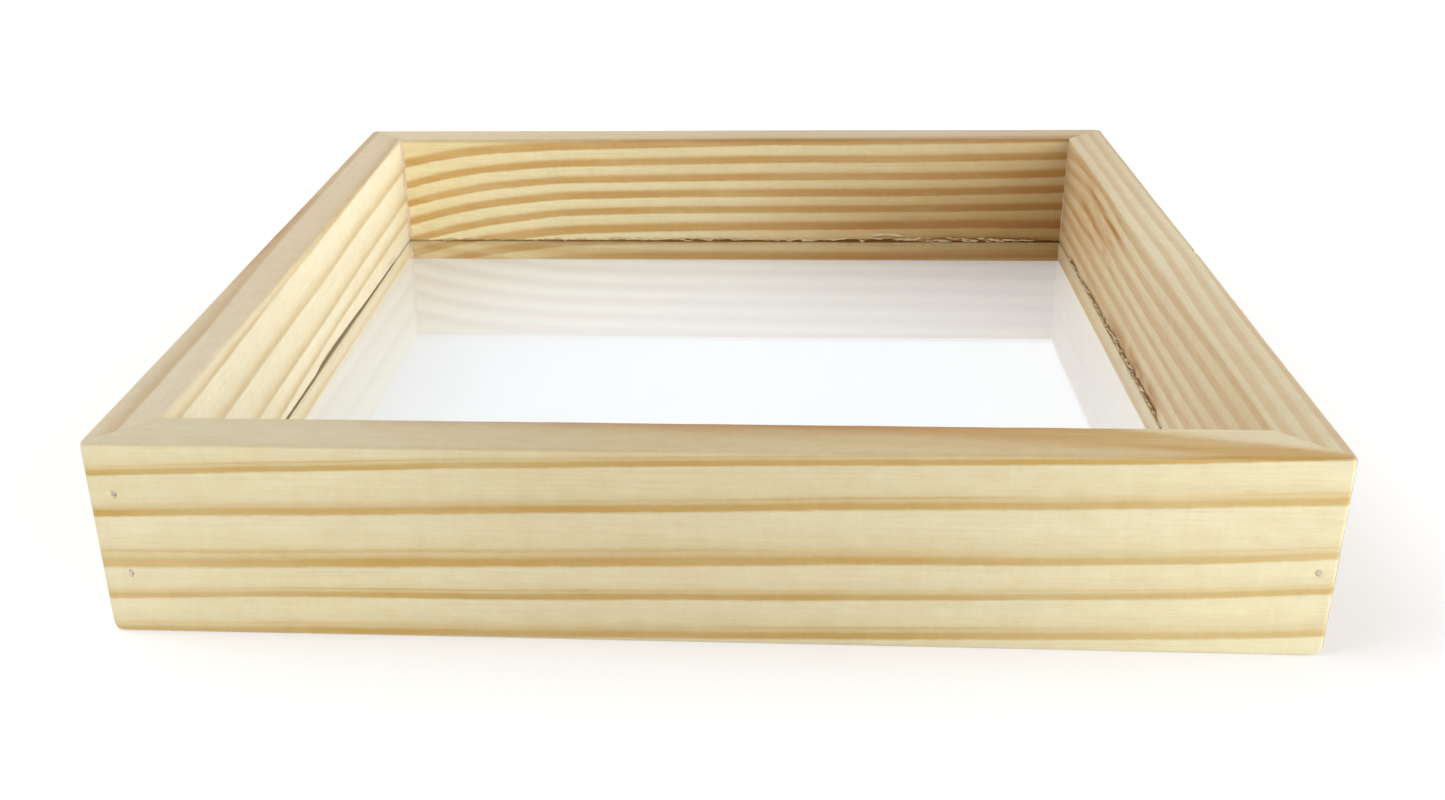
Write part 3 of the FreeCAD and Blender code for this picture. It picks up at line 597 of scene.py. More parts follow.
SPLINTERS += scatter("rail_back", 188, 233, 30, 8.8, 9.7, 5)
SPLINTERS += scatter("rail_back", 84, 136, 18, 8.9, 9.5, 14)
SPLINTERS += scatter("rail_back", 22, 82, 12, 8.8, 9.3, 27)
SPLINTERS += scatter("rail_back", 138, 186, 9, 8.8, 9.4, 28)
SPLINTERS += scatter("rail_back", 60, 84, 5, 9.0, 9.4, 6)
SPLINTERS += scatter("rail_back", 140, 168, 5, 9.0, 9.3, 7)
SPLINTERS += scatter("rail_right", 33, 60, 10, 8.7, 9.6, 8)
SPLINTERS += scatter("rail_right", 58, 142, 44, 8.7, 9.8, 9)
SPLINTERS += scatter("rail_right", 84, 138, 9, 10.0, 11.4, 10)
SPLINTERS += scatter("rail_right", 142, 166, 6, 8.9, 9.4, 11)
SPLINTERS += scatter("rail_front", 66, 100, 6, 8.9, 9.5, 12)
SPLINTERS += scatter("rail_front", 148, 175, 6, 8.9, 9.5, 13)


def splinter_mesh(items, turn):
    """Thin curled slivers of wood, each a closed form with pointed ends."""
    verts, faces = [], []
    c, s = math.cos(turn), math.sin(turn)
    for n, (rail_, col, high, long_, wide, lift, tilt, hang) in enumerate(items):
        rng = np.random.default_rng(900 + n)
        curl = rng.uniform(-0.5, 0.5)
        count = max(7, int(long_ / 0.45))
        start = len(verts)
        x_mid = col - HALF if rail_ == "rail_front" else HALF - col
        for k in range(count + 1):
            t = k / count
            body = math.sin(math.pi * min(max(t, 0.02), 0.98)) ** 0.55
            half = 0.5 * wide * body * (1 + 0.2 * math.sin(9 * t + n))
            thick = 0.5 * (0.1 + 0.14 * wide) * body
            x = x_mid + (t - 0.5) * long_
            z = high + tilt * (t - 0.5) * long_ + hang * math.sin(math.pi * t)
            v = THICK - 0.04 + lift * math.sin(math.pi * t) ** 1.5
            lean = curl * math.sin(math.pi * t)
            for ang in range(6):
                p = math.radians(60 * ang)
                dz, dv = half * math.cos(p), thick * math.sin(p)
                zz = z + dz * math.cos(lean) - dv * math.sin(lean)
                vv = v + dz * math.sin(lean) + dv * math.cos(lean)
                zz = max(zz, SHEET_TOP + 0.02)
                y = -HALF + vv
                verts.append((c * x - s * y, s * x + c * y, zz))
            if k:
                a, b = start + 6 * (k - 1), start + 6 * k
                for q in range(6):
                    r = (q + 1) % 6
                    faces.append((a + q, b + q, b + r, a + r))
        faces.append(tuple(start + q for q in range(6))[::-1])
        faces.append(tuple(start + 6 * count + q for q in range(6)))
    return verts, faces


# ------------------------------------------------------------------- materials
class Nodes:
    """A short hand for building a node tree."""

    def __init__(self, name):
        self.mat = bpy.data.materials.new(name)
        self.mat.use_nodes = True
        self.tree = self.mat.node_tree
        self.tree.nodes.clear()

    def new(self, kind, **inputs):
        node = self.tree.nodes.new(kind)
        for key, value in inputs.items():
            self.put(node, key, value)
        return node

    def put(self, node, key, value):
        if key.startswith("_"):
            setattr(node, key[1:], value)
            return
        if isinstance(key, str) and key.startswith("i") and key[1:].isdigit():
            socket = node.inputs[int(key[1:])]
        else:
            socket = node.inputs[key.replace("__", " ")]
        if isinstance(value, bpy.types.NodeSocket):
            self.tree.links.new(value, socket)
        else:
            socket.default_value = value

    def math(self, op, a, b=0.0, c=0.0, clamp=False):
        node = self.new("ShaderNodeMath", _operation=op, i0=a, i1=b)
        if op in ("MULTIPLY_ADD", "WRAP", "SMOOTH_MIN"):
            self.put(node, "i2", c)
        node.use_clamp = clamp
        return node.outputs[0]

    def noise(self, vector, scale, detail=2.0, rough=0.5, distort=0.0):
        node = self.new("ShaderNodeTexNoise", Vector=vector, Scale=scale, Detail=detail, Roughness=rough)
        node.inputs["Distortion"].default_value = distort
        return node.outputs["Fac"]

    def stretch(self, vector, scale, shift=(0, 0, 0)):
        node = self.new("ShaderNodeMapping", Vector=vector)
        node.inputs["Scale"].default_value = scale
        node.inputs["Location"].default_value = shift
        return node.outputs[0]

    def ramp(self, fac, stops, mode="LINEAR"):
        node = self.new("ShaderNodeValToRGB", Fac=fac)
        node.color_ramp.interpolation = mode
        el = node.color_ramp.elements
        while len(el) > 1:
            el.remove(el[-1])
        for k, (at, colour) in enumerate(stops):
            if not isinstance(colour, tuple):
                colour = (colour, colour, colour)
            e = el[0] if k == 0 else el.new(at)
            e.position = at
            e.color = colour + (1.0,)
        return node.outputs["Color"]

    def mix(self, fac, a, b, mode="MIX"):
        node = self.new("ShaderNodeMix", _data_type="RGBA", _blend_type=mode)
        self.put(node, "i0", fac)
        for socket, value in ((node.inputs[6], a), (node.inputs[7], b)):
            if isinstance(value, bpy.types.NodeSocket):
                self.tree.links.new(value, socket)
            else:
                socket.default_value = tuple(value) + (1.0,) if len(value) == 3 else value
        return node.outputs[2]

    def remap(self, value, a, b, c, d):
        node = self.new("ShaderNodeMapRange", Value=value)
        for key, number in (("From Min", a), ("From Max", b), ("To Min", c), ("To Max", d)):
            node.inputs[key].default_value = number
        return node.outputs[0]

    def attribute(self, name):
        node = self.new("ShaderNodeAttribute")
        node.attribute_name = name
        return node.outputs["Fac"]

    def finish(self, shader):
        self.new("ShaderNodeOutputMaterial", Surface=shader)
        return self.mat


BANDS = {  # how dark a ring's band is, from its sharp lower edge up, in thicknesses
    "stepped": (
        (0.0, 0.45), (0.06, 0.86), (0.14, 1.0), (0.46, 1.0), (0.58, 0.7), (0.7, 0.48),
        (0.9, 0.4), (1.1, 0.2), (1.3, 0.1), (1.6, 0.05), (2.0, 0.0),
    ),
    "flat": (
        (0.0, 0.4), (0.07, 0.94), (0.16, 1.0), (0.66, 0.98), (0.82, 0.8), (0.95, 0.4),
        (1.1, 0.16), (1.4, 0.06), (2.0, 0.0),
    ),
    "gradual": (
        (0.0, 0.45), (0.06, 0.92), (0.18, 1.0), (0.42, 0.86), (0.62, 0.55), (0.85, 0.34),
        (1.1, 0.17), (1.5, 0.05), (2.0, 0.0),
    ),
}


def pine(name, lengthwise, early, warm, late, deep, seed, band="flat", twin=0.0, top=(1, 1, 1), fade=()):
    """Planed pine. early: the pale wood; warm: its darker side before a ring's edge;
    late and deep: the band itself and its darkest part; top: the rail's top as shares,
    a painted shade that darkens the top against the walls."""
    n = Nodes(name)
    place = n.new("ShaderNodeTexCoord").outputs["Object"]

    def grain(long_, cross, shift=0.0):
        scale = [1000.0 * cross] * 3
        scale["xy".index(lengthwise)] = 1000.0 * long_
        return n.stretch(place, scale, (seed * 3.7 + shift, seed * 1.9 - shift, seed * 2.3))

    ring = n.attribute("ring")
    share = n.attribute("late")
    # the lines sway a little along the rail, and fibres nibble their edges
    sway = n.noise(grain(0.026, 0.08), 1.0, 2.0, 0.5)
    nibble = n.noise(grain(0.30, 1.7, 4.0), 1.0, 3.0, 0.6)
    w = n.math("MULTIPLY_ADD", n.math("SUBTRACT", sway, 0.5), 0.07, ring)
    w = n.math("MULTIPLY_ADD", n.math("SUBTRACT", nibble, 0.5), n.math("MULTIPLY", share, 0.22), w)
    f = n.math("FRACT", w)
    above = n.math("DIVIDE", n.math("SUBTRACT", 1.0, f), share)  # in thicknesses
    body = n.ramp(n.math("DIVIDE", above, 2.0, clamp=True), [(0.5 * a, b) for a, b in BANDS[band]])
    edge = n.ramp(n.math("DIVIDE", f, share), [(0.0, 0.45), (0.13, 0.0)])
    dark = n.math("MAXIMUM", body, edge)
    if twin:
        # a fainter second line just above some bands, coming and going along the rail
        line = n.ramp(
            n.math("DIVIDE", above, 2.0, clamp=True), [(0.41, 0.0), (0.44, 1.0), (0.50, 1.0), (0.54, 0.0)]
        )
        where = n.ramp(n.noise(grain(0.011, 0.06, 9.0), 1.0, 1.0), [(0.42, 0.0), (0.58, 1.0)])
        line = n.math("MULTIPLY", line, n.math("SUBTRACT", 1.0, n.attribute("upper")))
        dark = n.math("MULTIPLY_ADD", n.math("MULTIPLY", line, where), twin, dark)
    strength = n.remap(n.noise(grain(0.02, 0.22, 2.0), 1.0, 3.0), 0.3, 0.7, 0.74, 1.1)
    dark = n.math("MULTIPLY", dark, strength, clamp=True)
    if fade:
        # the bands lower down grow fainter towards the rail's two ends
        at = n.new("ShaderNodeSeparateXYZ", Vector=place).outputs
        first = n.math("MULTIPLY", n.remap(at["X"], -0.065, -0.105, 0.0, fade[0]), n.remap(at["Z"], 0.026, 0.019, 0.0, 1.0))
        last = n.math("MULTIPLY", n.remap(at["X"], 0.02, 0.075, 0.0, fade[1]), n.remap(at["Z"], 0.041, 0.029, 0.0, 1.0))
        dark = n.math("MULTIPLY", dark, n.math("SUBTRACT", 1.0, n.math("MAXIMUM", first, last)))

    streak = n.noise(grain(0.03, 1.4, 6.0), 1.0, 4.0, 0.62)
    fine = n.noise(grain(0.12, 5.0, 8.0), 1.0, 3.0, 0.6)
    cloud = n.noise(grain(0.012, 0.05, 3.0), 1.0, 2.0)
    chatter = n.noise(grain(0.62, 0.13, 5.0), 1.0, 2.0, 0.6)
    fleck = n.noise(grain(0.9, 1.1, 15.0), 1.0, 2.0, 0.6)
    blotch = n.noise(grain(0.17, 0.32, 21.0), 1.0, 3.0, 0.6)

    pale = n.mix(n.remap(f, 0.25, 1.0, 0.0, 1.0), early, warm)
    pale = n.mix(n.remap(cloud, 0.38, 0.68, 0.0, 0.7), pale, warm)
    band_colour = n.mix(n.remap(streak, 0.36, 0.66, 0.0, 1.0), late, deep)
    colour = n.mix(dark, pale, band_colour)
    tone = n.math("ADD", n.remap(streak, 0.3, 0.7, -0.045, 0.042), n.remap(fine, 0.3, 0.7, -0.03, 0.03))
    tone = n.math("ADD", tone, n.remap(fleck, 0.3, 0.7, -0.016, 0.016))
    tone = n.math("ADD", tone, n.remap(chatter, 0.3, 0.7, -0.015, 0.015))
    tone = n.math("ADD", tone, n.remap(blotch, 0.3, 0.7, -0.018, 0.018))
    # resin ducts: short thin darker dashes along the grain
    duct = n.noise(grain(0.09, 2.4, 12.0), 1.0, 1.0, 0.4)
    duct = n.math("MULTIPLY", n.ramp(duct, [(0.70, 0.0), (0.76, 1.0)]), 0.22)
    colour = n.mix(duct, colour, tuple(0.55 * a + 0.45 * b for a, b in zip(late, deep)))
    # resin streaks, and torn wood with painted shade in its hollows, strongest in the bands
    stain = n.math("MULTIPLY", n.attribute("stain"), n.remap(n.math("ADD", dark, n.math("MULTIPLY", streak, 0.5)), 0.2, 1.1, 0.45, 1.0), clamp=True)
    colour = n.mix(stain, colour, tuple(a * b for a, b in zip(early, (0.63, 0.345, 0.115))))
    # painted shade: the top is darkened by the shares in top
    colour = n.mix(n.attribute("upper"), colour, n.mix(1.0, colour, top, "MULTIPLY"))
    # shade and warmth carry the wood's tone together with painted light and shade
    bright = n.math("MULTIPLY", n.math("ADD", tone, 1.0), n.attribute("shade"))
    warmth = n.math("ADD", n.attribute("warmth"), n.remap(blotch, 0.3, 0.7, 0.05, -0.05))
    green = n.math("MULTIPLY", bright, n.math("MULTIPLY_ADD", warmth, -0.45, 1.0))
    blue = n.math("MULTIPLY", bright, n.math("SUBTRACT", 1.0, warmth))
    cast = n.new("ShaderNodeCombineColor", Red=bright, Green=green, Blue=blue).outputs[0]
    colour = n.mix(1.0, colour, cast, "MULTIPLY")

    rough = n.math("ADD", n.remap(streak, 0.3, 0.7, 0.52, 0.64), n.math("MULTIPLY", dark, -0.08))
    high = n.math("ADD", n.math("MULTIPLY", fine, 0.4), n.math("MULTIPLY", streak, 0.5))
    high = n.math("ADD", high, n.math("MULTIPLY", dark, 0.3))
    high = n.math("SUBTRACT", high, n.math("MULTIPLY", duct, 1.4))
    high = n.math("ADD", high, n.math("MULTIPLY", fleck, 0.3))
    bump = n.new("ShaderNodeBump", Height=high)
    bump.inputs["Strength"].default_value = 0.4
    bump.inputs["Distance"].default_value = 0.00005
    shader = n.new("ShaderNodeBsdfPrincipled", Base__Color=colour, Roughness=rough, Normal=bump.outputs[0])
    shader.inputs["IOR"].default_value = 1.46
    return n.finish(shader.outputs[0])


def clear_plastic():
    n = Nodes("clear_acrylic")
    place = n.new("ShaderNodeTexCoord").outputs["Object"]
    swirl = n.noise(n.stretch(place, (14, 14, 14)), 1.0, 3.0, 0.55, 0.6)
    specks = n.noise(n.stretch(place, (420, 420, 420)), 1.0, 2.0, 0.6)
    dust = n.ramp(specks, [(0.70, 0.0), (0.78, 1.0)])
    rough = n.math("ADD", n.remap(swirl, 0.35, 0.7, 0.012, 0.05), n.math("MULTIPLY", dust, 0.05))
    tint = n.mix(n.remap(swirl, 0.3, 0.7, 0.0, 1.0), (0.975, 0.99, 1.0), (0.965, 0.983, 1.0))
    bump = n.new("ShaderNodeBump", Height=n.noise(n.stretch(place, (9, 9, 9)), 1.0, 1.0))
    bump.inputs["Strength"].default_value = 0.08
    bump.inputs["Distance"].default_value = 0.0002
    glass = n.new("ShaderNodeBsdfPrincipled", Base__Color=tint, Roughness=rough, Normal=bump.outputs[0])
    glass.inputs["Transmission Weight"].default_value = 1.0
    glass.inputs["IOR"].default_value = 1.49
    through = n.new("ShaderNodeBsdfTransparent")
    through.inputs["Color"].default_value = (0.965, 0.984, 1.0, 1)
    # light on its way to or from matt surfaces passes straight through
    path = n.new("ShaderNodeLightPath")
    lamps = n.new("ShaderNodeMixShader", i0=path.outputs["Is Shadow Ray"], i1=glass.outputs[0], i2=through.outputs[0])
    both = n.new("ShaderNodeMixShader", i0=path.outputs["Is Diffuse Ray"], i1=lamps.outputs[0], i2=through.outputs[0])
    return n.finish(both.outputs[0])


def dried_glue():
    n = Nodes("dried_glue")
    place = n.new("ShaderNodeTexCoord").outputs["Object"]
    lump = n.noise(n.stretch(place, (420, 420, 160)), 1.0, 3.0, 0.6)
    cloud = n.noise(n.stretch(place, (90, 90, 60)), 1.0, 2.0)
    colour = n.mix(n.remap(lump, 0.3, 0.7, 0.0, 1.0), (0.52, 0.39, 0.25), (0.78, 0.66, 0.48))
    colour = n.mix(n.remap(cloud, 0.35, 0.7, 0.0, 0.6), colour, (0.50, 0.33, 0.20))
    bump = n.new("ShaderNodeBump", Height=lump)
    bump.inputs["Strength"].default_value = 0.5
    bump.inputs["Distance"].default_value = 0.0001
    shader = n.new(
        "ShaderNodeBsdfPrincipled", Base__Color=colour, Roughness=n.remap(cloud, 0.3, 0.7, 0.42, 0.6), Normal=bump.outputs[0]
    )
    return n.finish(shader.outputs[0])


def steel():
    n = Nodes("brad_steel")
    place = n.new("ShaderNodeTexCoord").outputs["Object"]
    mark = n.noise(n.stretch(place, (2600, 2600, 900)), 1.0, 3.0, 0.6)
    dull = n.noise(n.stretch(place, (700, 700, 700)), 1.0, 2.0)
    colour = n.mix(n.remap(mark, 0.3, 0.7, 0.0, 1.0), (0.66, 0.63, 0.51), (0.38, 0.355, 0.27))
    colour = n.mix(n.remap(dull, 0.5, 0.75, 0.0, 0.5), colour, (0.36, 0.31, 0.23))
    bump = n.new("ShaderNodeBump", Height=mark)
    bump.inputs["Strength"].default_value = 0.4
    bump.inputs["Distance"].default_value = 0.00004
    shader = n.new(
        "ShaderNodeBsdfPrincipled", Base__Color=colour, Roughness=n.remap(mark, 0.3, 0.7, 0.42, 0.62), Normal=bump.outputs[0]
    )
    shader.inputs["Metallic"].default_value = 0.6
    return n.finish(shader.outputs[0])


# --------------------------------------------------------------------- helpers
def place_piece(name, mesh, material, node, crease=40.0):
    obj = bpy.data.objects.new(name, mesh)
    bpy.context.scene.collection.objects.link(obj)
    mesh.materials.append(material)
    mesh.validate()
    for p in mesh.polygons:
        p.use_smooth = True
    mesh.set_sharp_from_angle(angle=math.radians(crease))
    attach(obj, "root")
    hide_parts(node)
    return obj


# ----------------------------------------------------------------- camera first
def camera():
    """The photograph's view: place, direction, roll, focal length and side shift."""
    data = bpy.data.cameras.new("camera")
    cam = bpy.data.objects.new("camera", data)
    bpy.context.scene.collection.objects.link(cam)
    data.sensor_fit = "HORIZONTAL"
    data.sensor_width = 36.0
    data.lens = 37.871
    data.shift_x = 0.04663
    data.clip_start, data.clip_end = 0.01, 50.0
    yaw, pitch, roll = 0.07822509, 0.42377933, -0.02195800
    ahead = Vector((-math.sin(yaw) * math.cos(pitch), math.cos(yaw) * math.cos(pitch), -math.sin(pitch)))
    right = Vector((math.cos(yaw), math.sin(yaw), 0))
    up = right.cross(ahead)
    side = math.cos(roll) * right + math.sin(roll) * up
    high = -math.sin(roll) * right + math.cos(roll) * up
    cam.matrix_world = Matrix((
        (side.x, high.x, -ahead.x, 0.0125447),
        (side.y, high.y, -ahead.y, -0.3969368),
        (side.z, high.z, -ahead.z, 0.1780410),
        (0, 0, 0, 1),
    ))
    bpy.context.scene.camera = cam


camera()

# ------------------------------------------------------------------------ rails
TURN = {"rail_front": 0.0, "rail_right": math.pi / 2, "rail_back": math.pi, "rail_left": -math.pi / 2}


def tones(base, late, deep, warm=(0.95, 0.925, 0.87)):
    """A rail's four colours: the pale wood, and the others as shares of it."""
    times = lambda k: tuple(a * b for a, b in zip(base, k))
    return dict(early=base, warm=times(warm), late=times(late), deep=times(deep))


# top: the shares that darken each rail's top against its walls, a painted shade
WOOD = {
    "rail_front": dict(
        name="pine_front", lengthwise="x", seed=1.0, band="stepped", twin=0.32, top=(0.84, 0.81, 0.816), fade=(0.24, 0.27),
        **tones((0.577, 0.500, 0.311), (0.74, 0.54, 0.23), (0.69, 0.465, 0.155)),
    ),
    "rail_back": dict(
        name="pine_back", lengthwise="x", seed=2.0, band="flat", top=(0.71, 0.68, 0.732),
        **tones((0.662, 0.566, 0.334), (0.72, 0.50, 0.27), (0.68, 0.45, 0.21), (0.94, 0.88, 0.80)),
    ),
    "rail_left": dict(
        name="pine_left", lengthwise="y", seed=3.0, band="gradual", top=(0.788, 0.752, 0.758),
        **tones((0.692, 0.624, 0.445), (0.80, 0.695, 0.53), (0.765, 0.645, 0.455)),
    ),
    "rail_right": dict(
        name="pine_right", lengthwise="y", seed=4.0, band="flat", top=(0.94, 0.99, 1.01),
        **tones((0.566, 0.474, 0.309), (0.873, 0.745, 0.62), (0.84, 0.69, 0.56)),
    ),
}
for rail_name, turn in TURN.items():
    mesh, fields = rail_mesh(rail_name, turn)
    b = bmesh.new()
    b.from_mesh(mesh)
    verts, faces = splinter_mesh([s for s in SPLINTERS if s[0] == rail_name], turn)
    made = [b.verts.new([c * MM for c in p]) for p in verts]
    for face in faces:
        b.faces.new([made[q] for q in face])
    bmesh.ops.recalc_face_normals(b, faces=b.faces)
    b.to_mesh(mesh)
    b.free()
    extra = len(verts)
    kinds = ("ring", "late", "upper", "shade", "warmth", "stain")
    for key, values, splinter in zip(kinds, fields, (3.3, 0.25, 0.0, 0.93, 0.1, 0.25)):
        att = mesh.attributes.new(key, "FLOAT", "POINT")
        att.data.foreach_set("value", np.append(values, np.full(extra, splinter)).astype(np.float32))
    place_piece(rail_name + "_wood", mesh, pine(**WOOD[rail_name]), rail_name)


# ------------------------------------------------------------------------ sheet
def sheet():
    """The clear sheet: softly rounded edges and the slightest sag."""
    half, low, high, edge = 118.8, KERF_LOW, SHEET_TOP, 0.35
    cut = 0.6
    b = bmesh.new()
    count = 48
    t = np.linspace(-1, 1, count + 1)

    def face(z, inset, sag):
        rows = []
        for ty in t:
            row = []
            for tx in t:
                x, y = tx * (half - inset), ty * (half - inset)
                over = abs(x) + abs(y) - (2 * (half - inset) - cut)
                if over > 0:
                    x -= math.copysign(over / 2, x)
                    y -= math.copysign(over / 2, y)
                dip = sag * (1 - tx * tx) * (1 - ty * ty)
                row.append(b.verts.new((x * MM, y * MM, (z - dip) * MM)))
            rows.append(row)
        return rows

    top = face(high, edge, 0.10)
    bottom = face(low, edge, 0.10)
    for rows, flip in ((top, False), (bottom, True)):
        for j in range(count):
            for i in range(count):
                q = [rows[j][i], rows[j][i + 1], rows[j + 1][i + 1], rows[j + 1][i]]
                b.faces.new(q[::-1] if flip else q)

    def border(rows):
        return rows[0] + [r[-1] for r in rows[1:]] + rows[-1][-2::-1] + [r[0] for r in rows[-2:0:-1]]

    rings = [border(top)]
    for part in (0.25, 0.5, 0.75, 1.0):
        a = part * math.pi / 2
        rings.append([
            b.verts.new((
                v.co.x + math.copysign(edge * math.sin(a) * MM, v.co.x) * (abs(v.co.x) > (half - edge - cut) * MM),
                v.co.y + math.copysign(edge * math.sin(a) * MM, v.co.y) * (abs(v.co.y) > (half - edge - cut) * MM),
                (high - edge * (1 - math.cos(a))) * MM,
            )) for v in rings[0]
        ])
    base = border(bottom)
    for part in (1.0, 0.75, 0.5, 0.25):
        a = part * math.pi / 2
        rings.append([
            b.verts.new((
                v.co.x + math.copysign(edge * math.sin(a) * MM, v.co.x) * (abs(v.co.x) > (half - edge - cut) * MM),
                v.co.y + math.copysign(edge * math.sin(a) * MM, v.co.y) * (abs(v.co.y) > (half - edge - cut) * MM),
                (low + edge * (1 - math.cos(a))) * MM,
            )) for v in base
        ])
    rings.append(base)
    for a, c in zip(rings, rings[1:]):
        m = len(a)
        for q in range(m):
            b.faces.new((a[q], c[q], c[(q + 1) % m], a[(q + 1) % m]))
    bmesh.ops.remove_doubles(b, verts=b.verts, dist=1e-7)
    bmesh.ops.dissolve_degenerate(b, edges=b.edges, dist=1e-7)
    bmesh.ops.recalc_face_normals(b, faces=b.faces)
    mesh = bpy.data.meshes.new("clear_sheet_mesh")
    b.to_mesh(mesh)
    b.free()
    return mesh


place_piece("sheet_clear", sheet(), clear_plastic(), "clear_sheet", 60.0)


# ------------------------------------------------------------------------- glue
def glue(corner, sx, sy, leg, seed):
    """Film in the mitre and an uneven fillet of squeeze-out up the inner corner."""
    b = bmesh.new()

    def sweep(z0, z1, count):
        rows = []
        for k in range(count + 1):
            t = k / count
            z = z0 + (z1 - z0) * t
            swell = 1 + 0.34 * float(wave(seed, 5.5, z)) + 0.26 * float(wave(seed + 1, 1.7, z))
            skew = 0.18 * float(wave(seed + 2, 7.0, z))
            ends = min(1.0, 0.35 + 0.65 * math.sin(math.pi * min(t * 9, (1 - t) * 9, 0.5)))
            a, c = leg * swell * (1 + skew) * ends, leg * swell * (1 - skew) * ends
            # from along one wall, over a slightly hollow face, to the other wall
            points = [(0.04, 0.04), (-a, 0.04), (-a, -0.03)]
            for q in (0.2, 0.4, 0.6, 0.8):
                hollow = 0.10 * leg * math.sin(math.pi * q)
                points.append((-a * (1 - q) + hollow - 0.02, -c * q + hollow - 0.02))
            points += [(-0.03, -c), (0.04, -c)]
            rows.append([
                b.verts.new((sx * (INNER + px_) * MM, sy * (INNER + py_) * MM, z * MM)) for px_, py_ in points
            ])
        for r0, r1 in zip(rows, rows[1:]):
            for q in range(len(r0)):
                b.faces.new((r0[q], r0[(q + 1) % len(r0)], r1[(q + 1) % len(r0)], r1[q]))
        b.faces.new(rows[0][::-1])
        b.faces.new(rows[-1])

    sweep(SHEET_TOP + 0.02, HIGH - 0.25, 84)
    sweep(0.25, KERF_LOW - 0.05, 14)
    # the film, a thin wavy-edged skin between the mitre faces
    thin = 0.012
    count = 30
    rows = []
    for k in range(count + 1):
        t = k / count
        z = 1.0 + (HIGH - 2.0) * t
        z_in = INNER + (KERF_DEEP + 0.2 if KERF_LOW - 0.6 < z < KERF_HIGH + 0.6 else 0.05)
        z_out = HALF - 1.0 + 0.25 * float(wave(seed + 3, 4.0, z))
        row = []
        for d, off in ((z_in, -thin), (z_out, -thin), (z_out, thin), (z_in, thin)):
            row.append(b.verts.new((sx * (d + off) * MM, sy * (d - off) * MM, z * MM)))
        rows.append(row)
    for r0, r1 in zip(rows, rows[1:]):
        for q in range(4):
            b.faces.new((r0[q], r0[(q + 1) % 4], r1[(q + 1) % 4], r1[q]))
    b.faces.new(rows[0][::-1])
    b.faces.new(rows[-1])
    bmesh.ops.recalc_face_normals(b, faces=b.faces)
    mesh = bpy.data.meshes.new("glue_" + corner)
    b.to_mesh(mesh)
    b.free()
    return mesh


GLUE = dried_glue()
for corner, sx, sy, leg, seed in (
    ("front_left", -1, -1, 0.4, 71), ("front_right", 1, -1, 0.4, 75),
    ("back_right", 1, 1, 0.14, 79), ("back_left", -1, 1, 0.8, 83),
):
    place_piece("squeeze_out_" + corner, glue(corner, sx, sy, leg, seed), GLUE, "glue_" + corner, 50.0)


# ------------------------------------------------------------------------ brads
def brads(corner, places, facing):
    """Two wire brads: domed flat head with a small dimple, grip rings, drawn point."""
    profile = [(0.0, -0.1), (0.12, -0.12), (0.24, -0.16), (0.45, -0.15), (0.68, -0.06), (0.86, 0.05), (0.95, 0.16)]
    profile += [(0.95, 0.36), (0.9, 0.45), (0.78, 0.5), (0.66, 0.56), (0.6, 0.7)]
    at = 1.0
    for _ in range(6):
        profile += [(0.6, at), (0.54, at + 0.16), (0.54, at + 0.3), (0.6, at + 0.46)]
        at += 0.8
    profile += [(0.6, 12.0), (0.6, BRAD_LONG - 1.8), (0.56, BRAD_LONG - 1.5), (0.36, BRAD_LONG - 0.8), (0.15, BRAD_LONG - 0.12), (0.0, BRAD_LONG)]
    b = bmesh.new()
    sides = 28
    for x, z in places:
        rings = []
        for r, d in profile:
            y = facing * (HALF - HEAD_SUNK - d)
            if r == 0.0:
                rings.append([b.verts.new((x * MM, y * MM, z * MM))])
                continue
            ring = []
            for q in range(sides):
                a = 2 * math.pi * q / sides
                ring.append(b.verts.new(((x + r * math.cos(a)) * MM, y * MM, (z + r * math.sin(a)) * MM)))
            rings.append(ring)
        for r0, r1 in zip(rings, rings[1:]):
            for q in range(sides):
                if len(r0) == 1:
                    b.faces.new((r0[0], r1[q], r1[(q + 1) % sides]))
                elif len(r1) == 1:
                    b.faces.new((r0[q], r1[0], r0[(q + 1) % sides]))
                else:
                    b.faces.new((r0[q], r1[q], r1[(q + 1) % sides], r0[(q + 1) % sides]))
    bmesh.ops.recalc_face_normals(b, faces=b.faces)
    mesh = bpy.data.meshes.new("brads_" + corner)
    b.to_mesh(mesh)
    b.free()
    return mesh


STEEL = steel()
for rail_name, facing, mirror in (("rail_front", -1, 1), ("rail_back", 1, -1)):
    for corner, spots in BRADS[rail_name].items():
        places = [(mirror * x, z) for x, z in spots]
        place_piece("pins_" + corner, brads(corner, places, facing), STEEL, "brads_" + corner, 35.0)


# ------------------------------------------------------------- floor and lights
def floor():
    n = Nodes("studio_floor")
    place = n.new("ShaderNodeTexCoord").outputs["Object"]
    cloud = n.noise(n.stretch(place, (1.5, 1.5, 1.5)), 1.0, 2.0)
    colour = n.mix(n.remap(cloud, 0.3, 0.7, 0.0, 1.0), (0.655, 0.655, 0.66), (0.675, 0.675, 0.675))
    shader = n.new("ShaderNodeBsdfPrincipled", Base__Color=colour, Roughness=n.remap(cloud, 0.3, 0.7, 0.8, 0.9))
    shader.inputs["Specular IOR Level"].default_value = 0.2
    # a table lit faintly from within, so that it stays pale under the sheet
    shader.inputs["Emission Color"].default_value = (1.0, 1.0, 1.0, 1)
    shader.inputs["Emission Strength"].default_value = 0.28
    mat = n.finish(shader.outputs[0])
    mesh = bpy.data.meshes.new("floor")
    s = 8.0
    mesh.from_pydata([(-s, -s, 0), (s, -s, 0), (s, s, 0), (-s, s, 0)], [], [(0, 1, 2, 3)])
    obj = bpy.data.objects.new("floor", mesh)
    bpy.context.scene.collection.objects.link(obj)
    mesh.materials.append(mat)
    obj.location.z = -0.00002


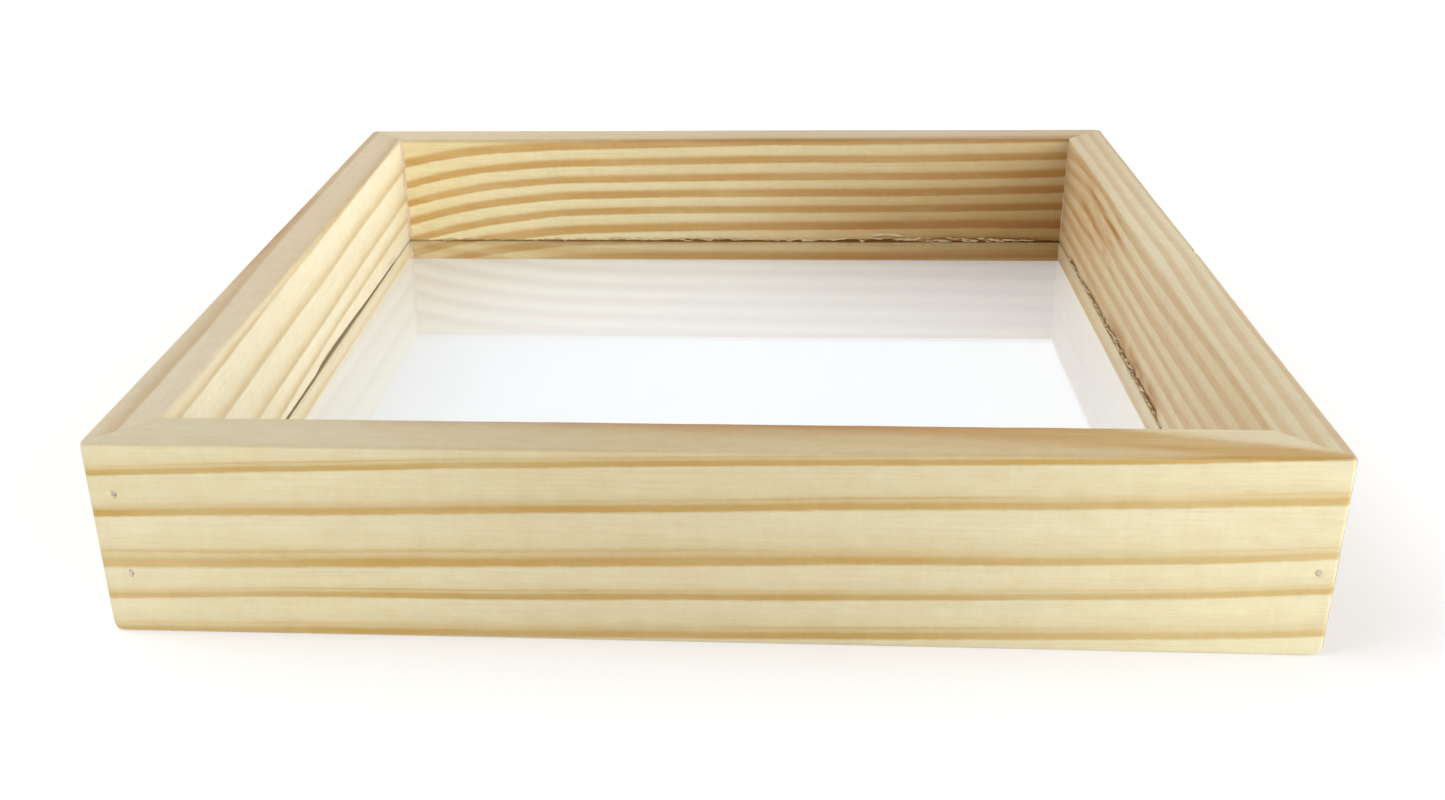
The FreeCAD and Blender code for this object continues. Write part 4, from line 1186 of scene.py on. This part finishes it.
def studio(surround, lobes):
    """Soft studio light: a surround that is brightest low down, and broad soft lights.
    lobes: (azimuth, elevation, tightness, strength, colour)."""
    world = bpy.data.worlds.new("studio")
    bpy.context.scene.world = world
    world.use_nodes = True
    tree = world.node_tree
    back = tree.nodes["Background"]
    place = tree.nodes.new("ShaderNodeTexCoord").outputs["Generated"]

    def maths(op, a, b):
        node = tree.nodes.new("ShaderNodeMath")
        node.operation = op
        for socket, value in zip(node.inputs, (a, b)):
            if isinstance(value, bpy.types.NodeSocket):
                tree.links.new(value, socket)
            else:
                socket.default_value = value
        return node.outputs[0]

    def vector(op, a, b):
        node = tree.nodes.new("ShaderNodeVectorMath")
        node.operation = op
        for socket, value in zip(node.inputs, (a, b)):
            if isinstance(value, bpy.types.NodeSocket):
                tree.links.new(value, socket)
            else:
                socket.default_value = value
        return node

    def scale(colour, amount):
        node = tree.nodes.new("ShaderNodeVectorMath")
        node.operation = "SCALE"
        node.inputs[0].default_value = colour
        tree.links.new(amount, node.inputs["Scale"])
        return node.outputs[0]

    split = tree.nodes.new("ShaderNodeSeparateXYZ")
    tree.links.new(place, split.inputs[0])
    low = maths("POWER", maths("SUBTRACT", 1.0, maths("MAXIMUM", split.outputs[2], 0.0)), 3.0)
    total = scale((surround,) * 3, low)
    for azimuth, elevation, tight, strength, colour in lobes:
        a, e = math.radians(azimuth), math.radians(elevation)
        way = (math.cos(e) * math.cos(a), math.cos(e) * math.sin(a), math.sin(e))
        near = maths("POWER", maths("MAXIMUM", vector("DOT_PRODUCT", place, way).outputs["Value"], 0.0), tight)
        total = vector("ADD", total, scale(tuple(strength * c for c in colour), near)).outputs[0]
    tree.links.new(total, back.inputs["Color"])
    back.inputs["Strength"].default_value = 1.0


floor()
WHITE = (1.0, 1.0, 1.0)
studio(0.8, (
    (-60, 22, 12, 3.26, WHITE),
    (-28, 20, 60, 2.85, WHITE),
    (0, 12, 20, 8.02, WHITE),
    (60, 28, 10, 1.20, WHITE),
    (90, 25, 8, 0.40, WHITE),
    (120, 9, 20, 0.55, WHITE),
    (125, 50, 10, 1.10, WHITE),
    (180, 25, 8, 1.80, WHITE),
    (180, 50, 10, 2.94, WHITE),
))

bpy.context.scene.view_settings.view_transform = "Standard"
bpy.context.scene.view_settings.look = "None"
